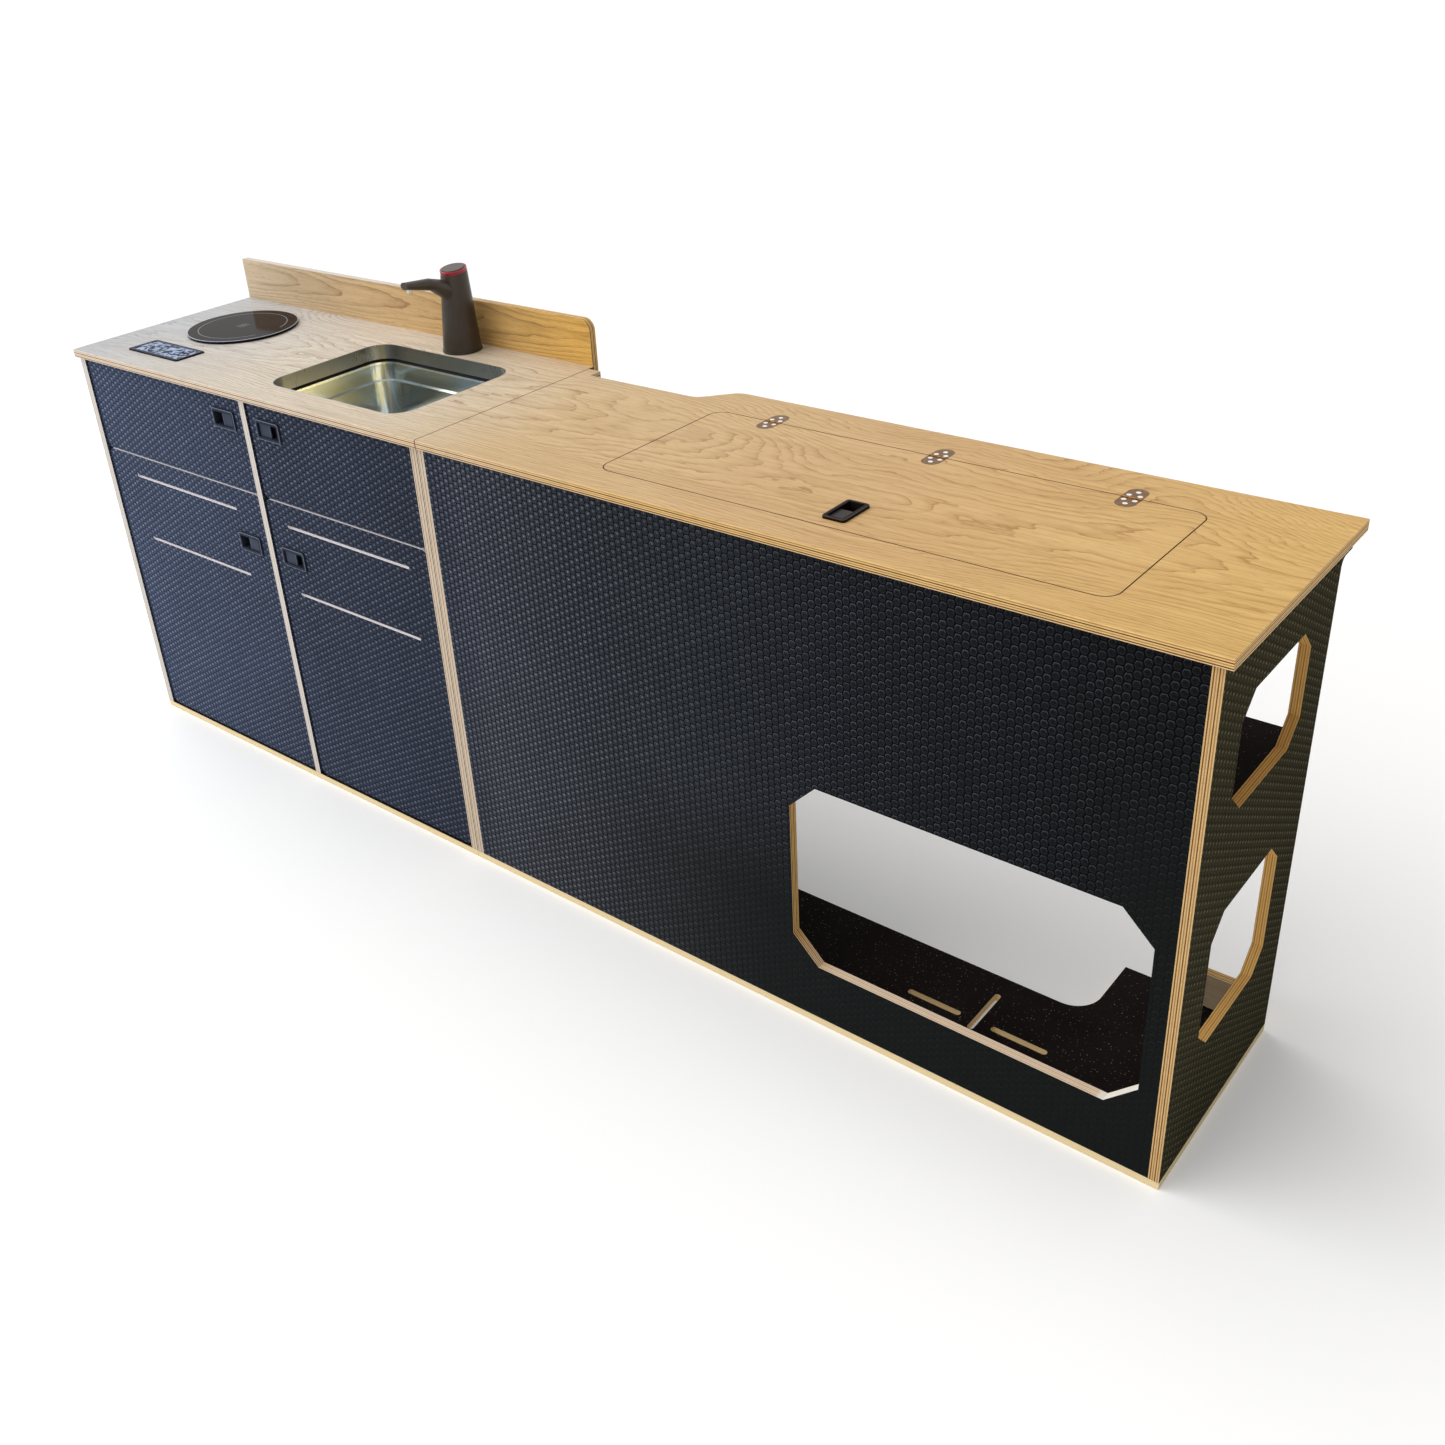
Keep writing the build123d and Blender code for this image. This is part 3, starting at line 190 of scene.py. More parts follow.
class Graph:
    """One node-based material, built by calls that return sockets."""

    def __init__(self, name):
        self.material = bpy.data.materials.new(name)
        self.material.use_nodes = True
        self.tree = self.material.node_tree
        self.tree.nodes.clear()
        self.shader = self.node("BsdfPrincipled")
        output = self.node("OutputMaterial")
        self.tree.links.new(self.shader.outputs["BSDF"], output.inputs["Surface"])
        self.place = self.node("TexCoord").outputs["Object"]
        self.axes = self.split(self.place)

    def node(self, kind, **settings):
        """A new node of the kind, with its settings."""
        node = self.tree.nodes.new("ShaderNode" + kind)
        for setting, value in settings.items():
            setattr(node, setting, value)
        return node

    def feed(self, socket, value):
        if isinstance(value, bpy.types.NodeSocket):
            self.tree.links.new(value, socket)
        else:
            socket.default_value = value

    def feed_all(self, sockets, values):
        for socket, value in zip(sockets, values):
            self.feed(socket, value)

    def set(self, **values):
        """Feeds the shader's inputs: underscores in a name stand for spaces."""
        for name, value in values.items():
            self.feed(self.shader.inputs[name.replace("_", " ")], value)

    def math(self, operation, *values):
        node = self.node("Math", operation=operation)
        self.feed_all(node.inputs, values)
        return node.outputs[0]

    def times(self, first, *others):
        for other in others:
            first = self.math("MULTIPLY", first, other)
        return first

    def plus(self, first, second):
        return self.math("ADD", first, second)

    def minus(self, first, second):
        return self.math("SUBTRACT", first, second)

    def size(self, value):
        """The value without its sign."""
        return self.math("ABSOLUTE", value)

    def vector(self, operation, *values):
        node = self.node("VectorMath", operation=operation)
        self.feed_all(node.inputs, values)
        return node.outputs["Value" if operation == "LENGTH" else "Vector"]

    def split(self, vector):
        node = self.node("SeparateXYZ")
        self.feed(node.inputs[0], vector)
        return list(node.outputs)

    def join(self, x, y, z):
        node = self.node("CombineXYZ")
        self.feed_all(node.inputs, (x, y, z))
        return node.outputs[0]

    def scaled(self, scale):
        """The place, scaled by one number or by one for each axis."""
        return self.vector("MULTIPLY", self.place, scale if isinstance(scale, tuple) else (scale,) * 3)

    def noise(self, scale, detail=2.0, roughness=0.6):
        """Noise with this many lumps to the metre."""
        node = self.node("TexNoise")
        self.feed(node.inputs["Vector"], self.scaled(scale))
        self.feed(node.inputs["Scale"], 1.0)
        self.feed(node.inputs["Detail"], detail)
        self.feed(node.inputs["Roughness"], roughness)
        return node.outputs["Fac"]

    def speckle(self, scale):
        """Distance from the nearest of many scattered points, in their mean spacing."""
        node = self.node("TexVoronoi")
        self.feed(node.inputs["Vector"], self.scaled(scale))
        self.feed(node.inputs["Scale"], 1.0)
        return node.outputs["Distance"]

    def ramp(self, value, stops):
        """A colour ramp from (position, colour) stops."""
        node = self.node("ValToRGB")
        elements = node.color_ramp.elements
        while len(elements) < len(stops):
            elements.new(1.0)
        for element, (position, colour) in zip(elements, stops):
            element.position = position
            element.color = (*colour, 1.0)
        self.feed(node.inputs[0], value)
        return node.outputs["Color"]

    def span(self, value, low, high, to_low=0.0, to_high=1.0, smooth=False):
        """Maps low..high to to_low..to_high, held at both ends."""
        node = self.node("MapRange", interpolation_type="SMOOTHSTEP" if smooth else "LINEAR", clamp=True)
        self.feed_all(node.inputs, (value, low, high, to_low, to_high))
        return node.outputs[0]

    def mix(self, factor, first, second):
        node = self.node("Mix", data_type="RGBA")
        self.feed(node.inputs[0], factor)
        self.feed(node.inputs[6], as_colour(first))
        self.feed(node.inputs[7], as_colour(second))
        return node.outputs[2]

    def mix_value(self, factor, first, second):
        node = self.node("Mix", data_type="FLOAT")
        self.feed(node.inputs[0], factor)
        self.feed(node.inputs[2], first)
        self.feed(node.inputs[3], second)
        return node.outputs[0]

    def mix_vector(self, factor, first, second):
        node = self.node("Mix", data_type="VECTOR")
        self.feed(node.inputs[0], factor)
        self.feed(node.inputs[4], first)
        self.feed(node.inputs[5], second)
        return node.outputs[1]

    def bump(self, height):
        """A normal from a height in metres."""
        node = self.node("Bump")
        self.feed(node.inputs["Height"], height)
        self.feed(node.inputs["Distance"], 1.0)
        self.feed(node.inputs["Strength"], 1.0)
        return node.outputs["Normal"]


def as_colour(value):
    """A colour with its alpha, where it isn't a socket already."""
    if isinstance(value, bpy.types.NodeSocket):
        return value
    return (*value, 1.0)


def from_nearer_face(g, depth, thickness):
    """How deep a place lies in a board, from the nearer of its two faces."""
    return g.math("MINIMUM", depth, g.minus(thickness, depth))


# Board surfaces, each returning its colour, roughness, and height in metres
def ply_edge(g, depth, thickness, tones, far_tones, turning):
    """Laminations: pale sheets, with darker ones between them and pale ones at both faces."""
    pale_tone, dark_tone = tones
    if far_tones:
        axis, start, end = turning
        turned = g.span(g.axes[axis], start, end)
        pale_tone, dark_tone = (g.mix(turned, near, far) for near, far in zip(tones, far_tones))
    count = max(1, round((thickness - OUTER_SHEETS) / SHEET_PITCH))
    first = (thickness - (count - 1) * SHEET_PITCH) / 2
    turn = g.plus(g.math("DIVIDE", g.minus(depth, first), SHEET_PITCH), 0.5)
    off_line = g.size(g.minus(g.math("FRACT", turn), 0.5))
    # Every second dark sheet is fainter, most of all at the kitchen
    fainter = g.span(g.axes[0], -0.4, 0.5, 0.35, 0.62)
    stress = g.span(g.math("PINGPONG", g.math("FLOOR", turn), 1.0), 0.0, 1.0, 1.0, fainter)
    inner = g.span(from_nearer_face(g, depth, thickness), first - 1.3 * MM, first - 0.9 * MM)
    lines = g.times(g.span(off_line, 0.34, 0.16), inner, stress)
    streaks = g.noise(60, 4.0)
    pores = g.noise(800, 2.0, 0.5)
    colour = g.mix(g.span(streaks, 0.35, 0.7, 0.16, 0.0), pale_tone, dark_tone)
    colour = g.mix(lines, colour, dark_tone)
    return colour, g.span(streaks, 0.2, 0.8, 0.55, 0.7), g.times(pores, 0.06 * MM)


def hex_cell(g, across, up):
    """Distance from a cell's middle (0.5 at its edge), the place within it, and a value for the cell.

    The cells stand in columns along the second direction, each touching the next one."""
    span = (ROOT_3, 1.0, 1.0)
    half = (ROOT_3 / 2, 0.5, 0.5)
    place = g.join(g.math("DIVIDE", across, HEX_PITCH), g.math("DIVIDE", up, HEX_PITCH), 0.5)
    shifted = g.vector("ADD", place, (ROOT_3 / 2, 0.5, 0.0))
    first, second = (
        g.vector("SUBTRACT", g.vector("WRAP", grid, (0.0, 0.0, 0.0), span), half)
        for grid in (place, shifted)
    )
    nearer = g.math("GREATER_THAN", g.vector("LENGTH", first), g.vector("LENGTH", second))
    within = g.mix_vector(nearer, first, second)
    cell = g.vector("DIVIDE", g.vector("SUBTRACT", place, within), half)
    chance = g.node("TexWhiteNoise")
    g.feed(chance.inputs["Vector"], g.vector("FLOOR", g.vector("ADD", cell, (0.5, 0.5, 0.5))))
    side, high, _ = g.split(within)
    tall = g.size(high)
    slant = g.plus(g.times(tall, 0.5), g.times(g.size(side), ROOT_3 / 2))
    return g.math("MAXIMUM", tall, slant), side, high, chance.outputs["Value"]


def spot(g, side, high, middle, inner, outer):
    """1 in a round spot of a cell, with its middle at the given height, falling to 0 outside it."""
    radius = g.vector("LENGTH", g.join(side, g.minus(high, middle), 0.0))
    return g.span(radius, outer, inner)


def hex_film(g, axis):
    """Dark film embossed with hexagons, each with painted shade in the groove round it, painted shade of a dent
    in it, and painted light along the film's stretch.

    On uprights (axis 0) each cell has a painted round glint. On fronts (axis 1) it is a painted round glint at
    the kitchen and a painted highlight on the upper rim further right, where the painted shade in the grooves
    between columns is the stronger."""
    x, y, z = g.axes
    upright = axis == 0
    distance, side, high, chance = hex_cell(g, y if upright else x, z)
    share = g.span(x, *(UPRIGHTS_STRETCH if upright else FRONTS_STRETCH))
    # The film's tone along the stretch is painted light on the dark film
    tone = g.ramp(share, UPRIGHT_FILM_AND_PAINTED_LIGHT if upright else FRONT_FILM_AND_PAINTED_LIGHT)
    # Tone of the painted glints
    light = g.ramp(share, UPRIGHT_PAINTED_GLINTS if upright else FRONT_PAINTED_GLINTS)
    if upright:
        # Painted glint: a round highlight in each cell
        lit = spot(g, side, high, 0.15, 0.08, 0.18)
    else:
        # Painted highlight on each cell's upper rim, and a round painted glint towards the kitchen
        rim = g.times(g.span(distance, 0.30, 0.35), g.span(distance, 0.43, 0.39))
        upper = g.span(g.plus(high, g.times(side, -0.35)), -0.20, 0.28, 0.15, 1.0)
        lit = g.times(rim, upper)
        point = g.math("MAXIMUM", spot(g, side, high, 0.15, 0.09, 0.17), g.times(lit, 0.35))
        lit = g.mix_value(g.span(x, 0.60, 0.15), lit, point)
        # Paler low down at the storage module's left
        at_left = g.times(g.span(x, -0.16, -0.10), g.span(x, 0.6, 0.3))
        tone = g.mix(g.times(g.span(z, 0.5, 0.05, 0.0, 0.5), at_left), tone, FILM_PALER)
    cloud = g.noise(3.1, 2.0, 0.5)
    grit = g.noise(700)
    tone = g.mix(g.span(cloud, 0.35, 0.7, 0.0, 0.30), tone, FILM_CLOUD)
    # Painted sparkle: fine grit in the glints' tone
    tone = g.mix(g.span(grit, 0.4, 0.75, 0.0, 0.18), tone, light)
    # Painted shade of a small dent in each cell
    dent = g.times(spot(g, side, high, 0.03, 0.06, 0.13), g.span(chance, 0.1, 0.7, 0.0, 0.7))
    colour = g.mix(dent, tone, FILM_DENT_SHADE)
    # The painted glints laid over the tone
    colour = g.mix(g.times(lit, g.span(chance, 0.0, 1.0, 0.40, 0.95)), colour, light)
    # Painted shade in the groove round each cell
    groove = g.span(distance, 0.41, 0.475, 0.0, 0.6 if upright else 0.9, smooth=True)
    if not upright:
        # Painted shade in the grooves between the columns, at the storage module
        columns = g.span(g.size(side), 0.28, 0.44, 0.0, 0.75)
        groove = g.math("MAXIMUM", groove, g.times(columns, g.span(x, *STORAGE_START)))
    colour = g.mix(groove, colour, FILM_GROOVE_SHADE)
    if not upright:
        # The embossing hardly shows below the low cut-out, and beside it
        below = g.times(g.span(z, 0.36, 0.20), g.span(x, 0.10, 0.50, 0.0, 0.85))
        beside = g.times(g.span(z, 0.62, 0.45), g.span(x, 0.96, 1.01, 0.0, 0.7))
        colour = g.mix(g.math("MAXIMUM", below, beside), colour, FILM_FAINT)
    plateau = g.span(distance, 0.49, 0.41, smooth=True)
    height = g.plus(g.times(plateau, EMBOSSING), g.times(grit, 0.02 * MM))
    return colour, g.span(grit, 0.3, 0.7, 0.42, 0.56), height


def smooth_film(g, axis):
    """Near-black film with fine pale speckles."""
    spots = g.noise(420)
    cloud = g.noise(6, 3.0)
    colour = g.mix(g.span(cloud, 0.3, 0.7), (0.010, 0.007, 0.006), (0.020, 0.015, 0.014))
    mark = g.times(g.span(g.speckle(210), 0.23, 0.12), g.span(spots, 0.5, 0.60), 0.9)
    colour = g.mix(mark, colour, (0.34, 0.29, 0.27))
    return colour, g.span(spots, 0.3, 0.7, 0.42, 0.6), g.times(spots, 0.05 * MM)


def oak_veneer(g, axis):
    """Crown-cut oak: nested arches along the middle, straight grain towards the edges, small pores."""
    x, y, z = g.axes
    upright = axis == 1
    figure = UPSTAND_FIGURE if upright else WORKTOP_FIGURE
    across = g.minus(z, UPSTAND_MIDDLE) if upright else y
    drift = g.noise((1.5, 3.0, 3.0), 2.0, 0.5)
    wave = g.noise((5.5, 15, 15), 3.0, 0.55)
    ripple = g.noise((16, 70, 70), 3.0)
    # Rings of a slightly leaning trunk cut flat: their number grows with the square of the offset
    offset = g.plus(across, g.span(drift, 0.25, 0.75, *figure["lean"]))
    field = g.plus(g.times(x, figure["growth"]), g.times(offset, offset, figure["arch"]))
    for unrest, reach in ((wave, figure["sway"]), (ripple, figure["quiver"]), (drift, figure["stray"])):
        field = g.plus(field, g.span(unrest, 0.2, 0.8, -reach, reach))
    ring = g.math("FRACT", field)
    late = g.times(g.span(ring, 0.40, 0.90, smooth=True), g.span(ring, 1.0, 0.95))
    contour = g.times(g.span(ring, 0.86, 0.92), g.span(ring, 0.995, 0.965))
    fibres = g.noise((22, 560, 560), 4.0)
    streaks = g.noise((4.5, 150, 150), 5.0, 0.68)
    bands = g.noise((1.6, 34, 34), 3.0)
    pores = g.noise((60, 950, 950), 2.0, 0.55)
    broken = g.noise((8, 50, 50), 3.0)
    # The tones along the stretch are partly the oak's own and partly painted light
    share = g.span(x, *figure["stretch"])
    colour = g.ramp(share, figure["early"])
    late_tone = g.ramp(share, figure["late"])
    for strength in (
        g.span(bands, 0.35, 0.75, 0.0, 0.24),
        g.span(streaks, 0.46, 0.76, 0.0, 0.46),
        g.times(late, g.span(broken, 0.26, 0.60, 0.06, 0.42)),
        g.times(contour, g.span(broken, 0.36, 0.60, 0.10, 0.80)),
        g.span(fibres, 0.52, 0.76, 0.0, 0.36),
    ):
        colour = g.mix(strength, colour, late_tone)
    dash = g.times(g.span(pores, 0.58, 0.70), g.span(fibres, 0.36, 0.6))
    colour = g.mix(g.times(dash, 0.55), colour, OAK_PORE)
    height = g.plus(g.times(fibres, 0.05 * MM), g.times(dash, -0.06 * MM))
    return colour, g.span(fibres, 0.3, 0.7, 0.40, 0.54), height


def birch_face(g, axis):
    """Bare birch: pale, with fine short grain."""
    grain = g.noise((14, 180, 180), 4.0)
    fleck = g.noise((90, 900, 900), 2.0, 0.5)
    colour = g.mix(g.span(grain, 0.3, 0.7), (0.60, 0.42, 0.25), (0.78, 0.60, 0.40))
    colour = g.mix(g.span(fleck, 0.6, 0.72, 0.0, 0.4), colour, (0.36, 0.21, 0.10))
    return colour, g.span(grain, 0.3, 0.7, 0.5, 0.62), g.times(fleck, 0.04 * MM)


def outside_outline(g, name, corner, axes=(0, 1)):
    """How far a place lies outside a part's outline with rounded corners, seen across the two axes."""
    low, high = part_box(name)
    reach = []
    for axis in axes:
        offset = g.size(g.minus(g.axes[axis], (low[axis] + high[axis]) / 2))
        reach.append(g.minus(offset, (high[axis] - low[axis]) / 2 - corner))
    outside = g.vector("LENGTH", g.join(*(g.math("MAXIMUM", value, 0.0) for value in reach), 0.0))
    inside = g.math("MINIMUM", g.math("MAXIMUM", *reach), 0.0)
    return g.minus(g.plus(outside, inside), corner)


def painted_gap_shade(g, name, colour):
    """Painted shade along the gap round the lid and along the joint between the two worktops."""
    lines = []
    if name != "kitchen_worktop":
        from_gap = g.minus(outside_outline(g, "storage_lid", LID_CORNER), LID_GAP / 2)
        lines.append((from_gap, LID_GAP_SHADE))
    if name != "storage_lid":
        joint = (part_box("kitchen_worktop")[1][0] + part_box("storage_worktop")[0][0]) / 2
        lines.append((g.minus(g.axes[0], joint), JOINT_SHADE))
    for off_line, tone in lines:
        colour = g.mix(g.span(g.size(off_line), GAP_SHADE_WIDTH, GAP_SHADE_WIDTH * 0.6), colour, tone)
    return colour


def board_material(
    name, axis, face, skin, tones=WARM_PLY, far_tones=None, turning=WORKTOP_TURNING, gloss=WOOD_GLOSS
):
    """A board: its skin within a thin layer of both faces, and laminations on every cut edge."""
    low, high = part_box(name)
    g = Graph(name + "_finish")
    thickness = high[axis] - low[axis]
    depth = g.minus(g.axes[axis], low[axis])
    edge = g.math("GREATER_THAN", from_nearer_face(g, depth, thickness), skin)
    face_colour, face_rough, face_height = face(g, axis)
    edge_colour, edge_rough, edge_height = ply_edge(g, depth, thickness, tones, far_tones, turning)
    if name in WORKTOPS:
        underside = g.span(depth, 1.7 * MM, 1.1 * MM, 0.0, 0.8)
        edge_colour = g.mix(underside, edge_colour, UNDERSIDE_TONE)
        # Painted shade along the lid's gap and the worktops' joint
        edge_colour = painted_gap_shade(g, name, edge_colour)
        face_colour = painted_gap_shade(g, name, face_colour)
    if name == "storage_front_panel":
        # The cut-out's last corner is cream
        last = g.span(g.axes[0], high[0] - 79 * MM, high[0] - 75 * MM, 0.0, 0.85)
        edge_colour = g.mix(last, edge_colour, CREAM)
    g.set(
        Base_Color=g.mix(edge, face_colour, edge_colour),
        Roughness=g.mix_value(edge, face_rough, edge_rough),
        Normal=g.bump(g.mix_value(edge, face_height, edge_height)),
        Specular_IOR_Level=gloss,
    )
    return g.material


def paint(node, material):
    """Puts a material on a CAD node or a piece."""
    if not node.material_slots:
        node.data.materials.append(None)
    for slot in node.material_slots:
        slot.link = "OBJECT"
        slot.material = material


def paint_board(name, axis, face, skin, *tones, **settings):
    paint(nodes[name], board_material(name, axis, face, skin, *tones, **settings))


# Boards with the hexagon film: axis 0 for uprights, axis 1 for fronts
UPRIGHT_TONES = {
    "kitchen_left_panel": PALE_PLY,
    "kitchen_divider": PALE_PLY,
    "kitchen_right_panel": BEIGE_PLY,
    "storage_left_panel": BEIGE_PLY,
}
DOORS = ["door_" + row + "_" + side for row in ("upper", "lower") for side in ("left", "right")]
SHELVES = ["kitchen_shelf_left", "kitchen_shelf_right", "storage_shelf"]
BASES = ["kitchen_base", "storage_base"]
WORKTOPS = ["kitchen_worktop", "storage_worktop", "storage_lid"]

for name, tones in UPRIGHT_TONES.items():
    paint_board(name, 0, hex_film, FILM_THICKNESS, tones, gloss=FILM_GLOSS)
# The end panel's cut-outs are golden, with painted light that brightens them where they lie in shade, behind
# its browner front edge
end_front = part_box("storage_end_panel")[0][1]
end_painted_light_turning = (1, end_front + 2 * MM, end_front + 5 * MM)
paint_board("storage_end_panel", 0, hex_film, FILM_THICKNESS, BROWN_PLY, GOLD_PLY_AND_PAINTED_LIGHT, end_painted_light_turning, gloss=0.0)
# Doors' ply edges carry a painted lilac reflection of the sky
for name in DOORS:
    paint_board(name, 1, hex_film, FILM_THICKNESS, LILAC_PLY_AND_PAINTED_SKY, gloss=FILM_GLOSS)
paint_board(
    "storage_front_panel", 1, hex_film, FILM_THICKNESS, WARM_PLY, BLUSH_PLY, FRONT_CUT_TURNING, gloss=FILM_GLOSS
)

# Shelves and base boards, worktops, and bare boards
for name in SHELVES:
    paint_board(name, 2, smooth_film, FILM_THICKNESS, gloss=FILM_GLOSS)
# The base boards' pale edges carry painted light that brightens their shaded strap slots
for name in BASES:
    paint_board(name, 2, smooth_film, FILM_THICKNESS, STRAW_PLY_AND_PAINTED_LIGHT, gloss=FILM_GLOSS)
for name in WORKTOPS:
    paint_board(name, 2, oak_veneer, VENEER_THICKNESS, BEIGE_PLY, WARM_PLY)
paint_board("upstand", 1, oak_veneer, VENEER_THICKNESS, PALE_PLY, WARM_PLY, UPSTAND_TURNING)
paint_board("lid_support_frame", 2, birch_face, VENEER_THICKNESS)
paint_board("storage_floor_strip", 1, birch_face, VENEER_THICKNESS)


# Plastics, metals and glass
def moulded(name, dark, light, roughs, dent=0.02 * MM, **extra):
    """Moulded plastic: fine texture, with slight changes of tone and gloss."""
    g = Graph(name)
    fine = g.noise(1400)
    broad = g.noise(24, 3.0, 0.55)
    g.set(
        Base_Color=g.mix(g.span(broad, 0.3, 0.7), dark, light),
        Roughness=g.span(fine, 0.3, 0.7, *roughs),
        Normal=g.bump(g.times(fine, dent)),
        **extra,
    )
    return g.material


def brushed(name, dark, light, roughs, stretch, dent=0.012 * MM):
    """Metal with fine scratches drawn out along one axis."""
    g = Graph(name)
    scratch = g.noise(stretch, 4.0, 0.65)
    cloud = g.noise(11, 3.0, 0.55)
    g.set(
        Base_Color=g.mix(g.span(scratch, 0.3, 0.7), dark, light),
        Metallic=1.0,
        Roughness=g.mix_value(cloud, g.span(scratch, 0.3, 0.7, *roughs), roughs[1]),
        Normal=g.bump(g.times(scratch, dent)),
    )
    return g.material


def bordered(name, part, corner, axes, line, dark, light, roughs):
    """Moulding with a line along its outline, given by how deep it starts and ends, and its tone; on the
    latches the line is a painted highlight along the bevel.
    """
    g = Graph(name)
    fine = g.noise(1400)
    broad = g.noise(24, 3.0, 0.55)
    depth = g.times(outside_outline(g, part, corner, axes), -1.0)
    start, end, tone = line
    drawn = g.times(g.span(depth, start - 0.3 * MM, start), g.span(depth, end + 0.3 * MM, end))
    g.set(
        Base_Color=g.mix(drawn, g.mix(g.span(broad, 0.3, 0.7), dark, light), tone),
        Roughness=g.span(fine, 0.3, 0.7, *roughs),
        Normal=g.bump(g.times(fine, 0.01 * MM)),
        Specular_IOR_Level=0.03,
    )
    return g.material


def sink_steel():
    """Polished steel: cool walls, a painted golden reflection of the wood low in the bowl, and a painted
    highlight along the rim.
    """
    low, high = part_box("sink_bowl")
    left, top = low[0], high[2]
    g = Graph("sink_steel_finish")
    x, _, z = g.axes
    scratch = g.noise((30, 900, 900), 4.0, 0.65)
    cloud = g.noise(9, 3.0, 0.55)
    colour = g.mix(g.span(scratch, 0.3, 0.7), (0.50, 0.55, 0.57), (0.62, 0.67, 0.69))
    # Painted golden reflection of the wood low in the bowl, in clouds
    painted_wood_reflection = g.times(g.span(z, top - 20 * MM, top - 70 * MM), g.span(x, left + 80 * MM, left + 160 * MM))
    colour = g.mix(g.times(painted_wood_reflection, g.span(cloud, 0.35, 0.6, 0.35, 0.9)), colour, (0.93, 0.79, 0.46))
    # Painted highlight along the bowl's rolled rim
    colour = g.mix(g.span(z, top - 4.5 * MM, top - 3.5 * MM), colour, (0.94, 0.95, 0.97))
    g.set(
        Base_Color=colour,
        Metallic=1.0,
        Roughness=g.mix_value(cloud, g.span(scratch, 0.3, 0.7, 0.09, 0.16), 0.18),
        Normal=g.bump(g.times(scratch, 0.012 * MM)),
    )
    return g.material


def from_middle(g, name):
    """A place's offsets from the middle of a part, along x and y."""
    low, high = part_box(name)
    return tuple(g.minus(g.axes[axis], (low[axis] + high[axis]) / 2) for axis in (0, 1))


def socket_plate(name, radius, spacing):
    """Glossy blue plate with a dark moulded ring round each of its outlets."""
    g = Graph(name + "_gloss")
    off_x, off_y = from_middle(g, name)
    side = g.minus(g.size(off_x), spacing / 2)
    reach = g.vector("LENGTH", g.join(side, off_y, 0.0))
    ring = g.span(g.size(g.minus(reach, radius)), 2.0 * MM, 1.2 * MM)
    patches = g.noise(110, 2.0, 0.5)
    fine = g.noise(900)
    plate = g.mix(g.span(patches, 0.44, 0.56), (0.020, 0.030, 0.065), (0.38, 0.48, 0.68))
    g.set(
        Base_Color=g.mix(ring, plate, (0.010, 0.012, 0.022)),
        Roughness=g.span(fine, 0.3, 0.7, 0.10, 0.18),
        Specular_IOR_Level=0.02,
        Normal=g.bump(g.times(fine, 0.004 * MM)),
    )
    return g.material


def hob_glass():
    """Black glass with a pale rim, a thin printed ring, broken at one place, and three short dashes."""
    low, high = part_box("hob_glass")
    edge, top = (high[0] - low[0]) / 2, high[2]
    g = Graph("hob_glass_finish")
    off_x, off_y = from_middle(g, "hob_glass")
    radius = g.vector("LENGTH", g.join(off_x, off_y, 0.0))
    ring = g.span(g.size(g.minus(radius, 83 * MM)), 0.8 * MM, 0.4 * MM)
    kept = g.math("GREATER_THAN", g.size(g.math("ARCTAN2", off_y, off_x)), 0.35)
    row = g.math("PINGPONG", g.plus(off_y, 150 * MM), 6 * MM)
    bars = g.span(g.size(g.minus(row, 3 * MM)), 0.8 * MM, 0.4 * MM)
    near = g.times(*(g.span(g.size(offset), 9.5 * MM, 9 * MM) for offset in (off_x, off_y)))
    print_mark = g.math("MAXIMUM", g.times(ring, kept), g.times(bars, near))
    rim = g.span(radius, edge - 1.8 * MM, edge - 0.8 * MM)
    rim = g.times(rim, g.span(g.axes[2], top - 1.2 * MM, top - 0.6 * MM))
    smear = g.noise(18, 4.0)
    colour = g.mix(g.times(print_mark, 0.8), (0.016, 0.009, 0.009), (0.40, 0.42, 0.48))
    g.set(
        Base_Color=g.mix(rim, colour, (0.46, 0.52, 0.62)),
        Roughness=g.span(smear, 0.3, 0.75, 0.035, 0.10),
        Specular_IOR_Level=0.02,
        Normal=g.bump(g.times(smear, 0.02 * MM)),
    )
    return g.material


black_plastic = moulded(
    "black_moulding", (0.010, 0.011, 0.013), (0.020, 0.021, 0.025), (0.30, 0.42), Specular_IOR_Level=0.12
)
dark_paddle = moulded(
    "dark_paddle_moulding", (0.020, 0.014, 0.013), (0.032, 0.023, 0.021), (0.3, 0.42), Specular_IOR_Level=0.12
)
rubber = moulded(
    "seal_rubber_finish", (0.008, 0.008, 0.009), (0.016, 0.016, 0.017), (0.6, 0.75), Specular_IOR_Level=0.1
)
tap_dark = moulded(
    "tap_moulding", (0.040, 0.029, 0.020), (0.062, 0.046, 0.033), (0.28, 0.36), Specular_IOR_Level=0.35
)
tap_red = moulded("tap_ring_gloss", (0.34, 0.010, 0.028), (0.46, 0.018, 0.045), (0.12, 0.2), 0.004 * MM)
collar_steel = brushed(
    "sink_collar_finish", (0.35, 0.35, 0.34), (0.38, 0.38, 0.375), (0.24, 0.30), (500, 500, 60), 0.0015 * MM
)
bolt_steel = brushed("bolt_steel_finish", (0.45, 0.45, 0.46), (0.6, 0.6, 0.6), (0.25, 0.4), (60, 900, 900))
brass = brushed("hinge_brass_finish", (0.09, 0.040, 0.010), (0.27, 0.135, 0.040), (0.22, 0.36), 240)
screw_steel = brushed("screw_finish", (0.80, 0.78, 0.74), (0.95, 0.93, 0.88), (0.2, 0.34), 500)
hinge_steel = brushed("door_hinge_finish", (0.5, 0.5, 0.5), (0.64, 0.64, 0.63), (0.22, 0.36), 300)
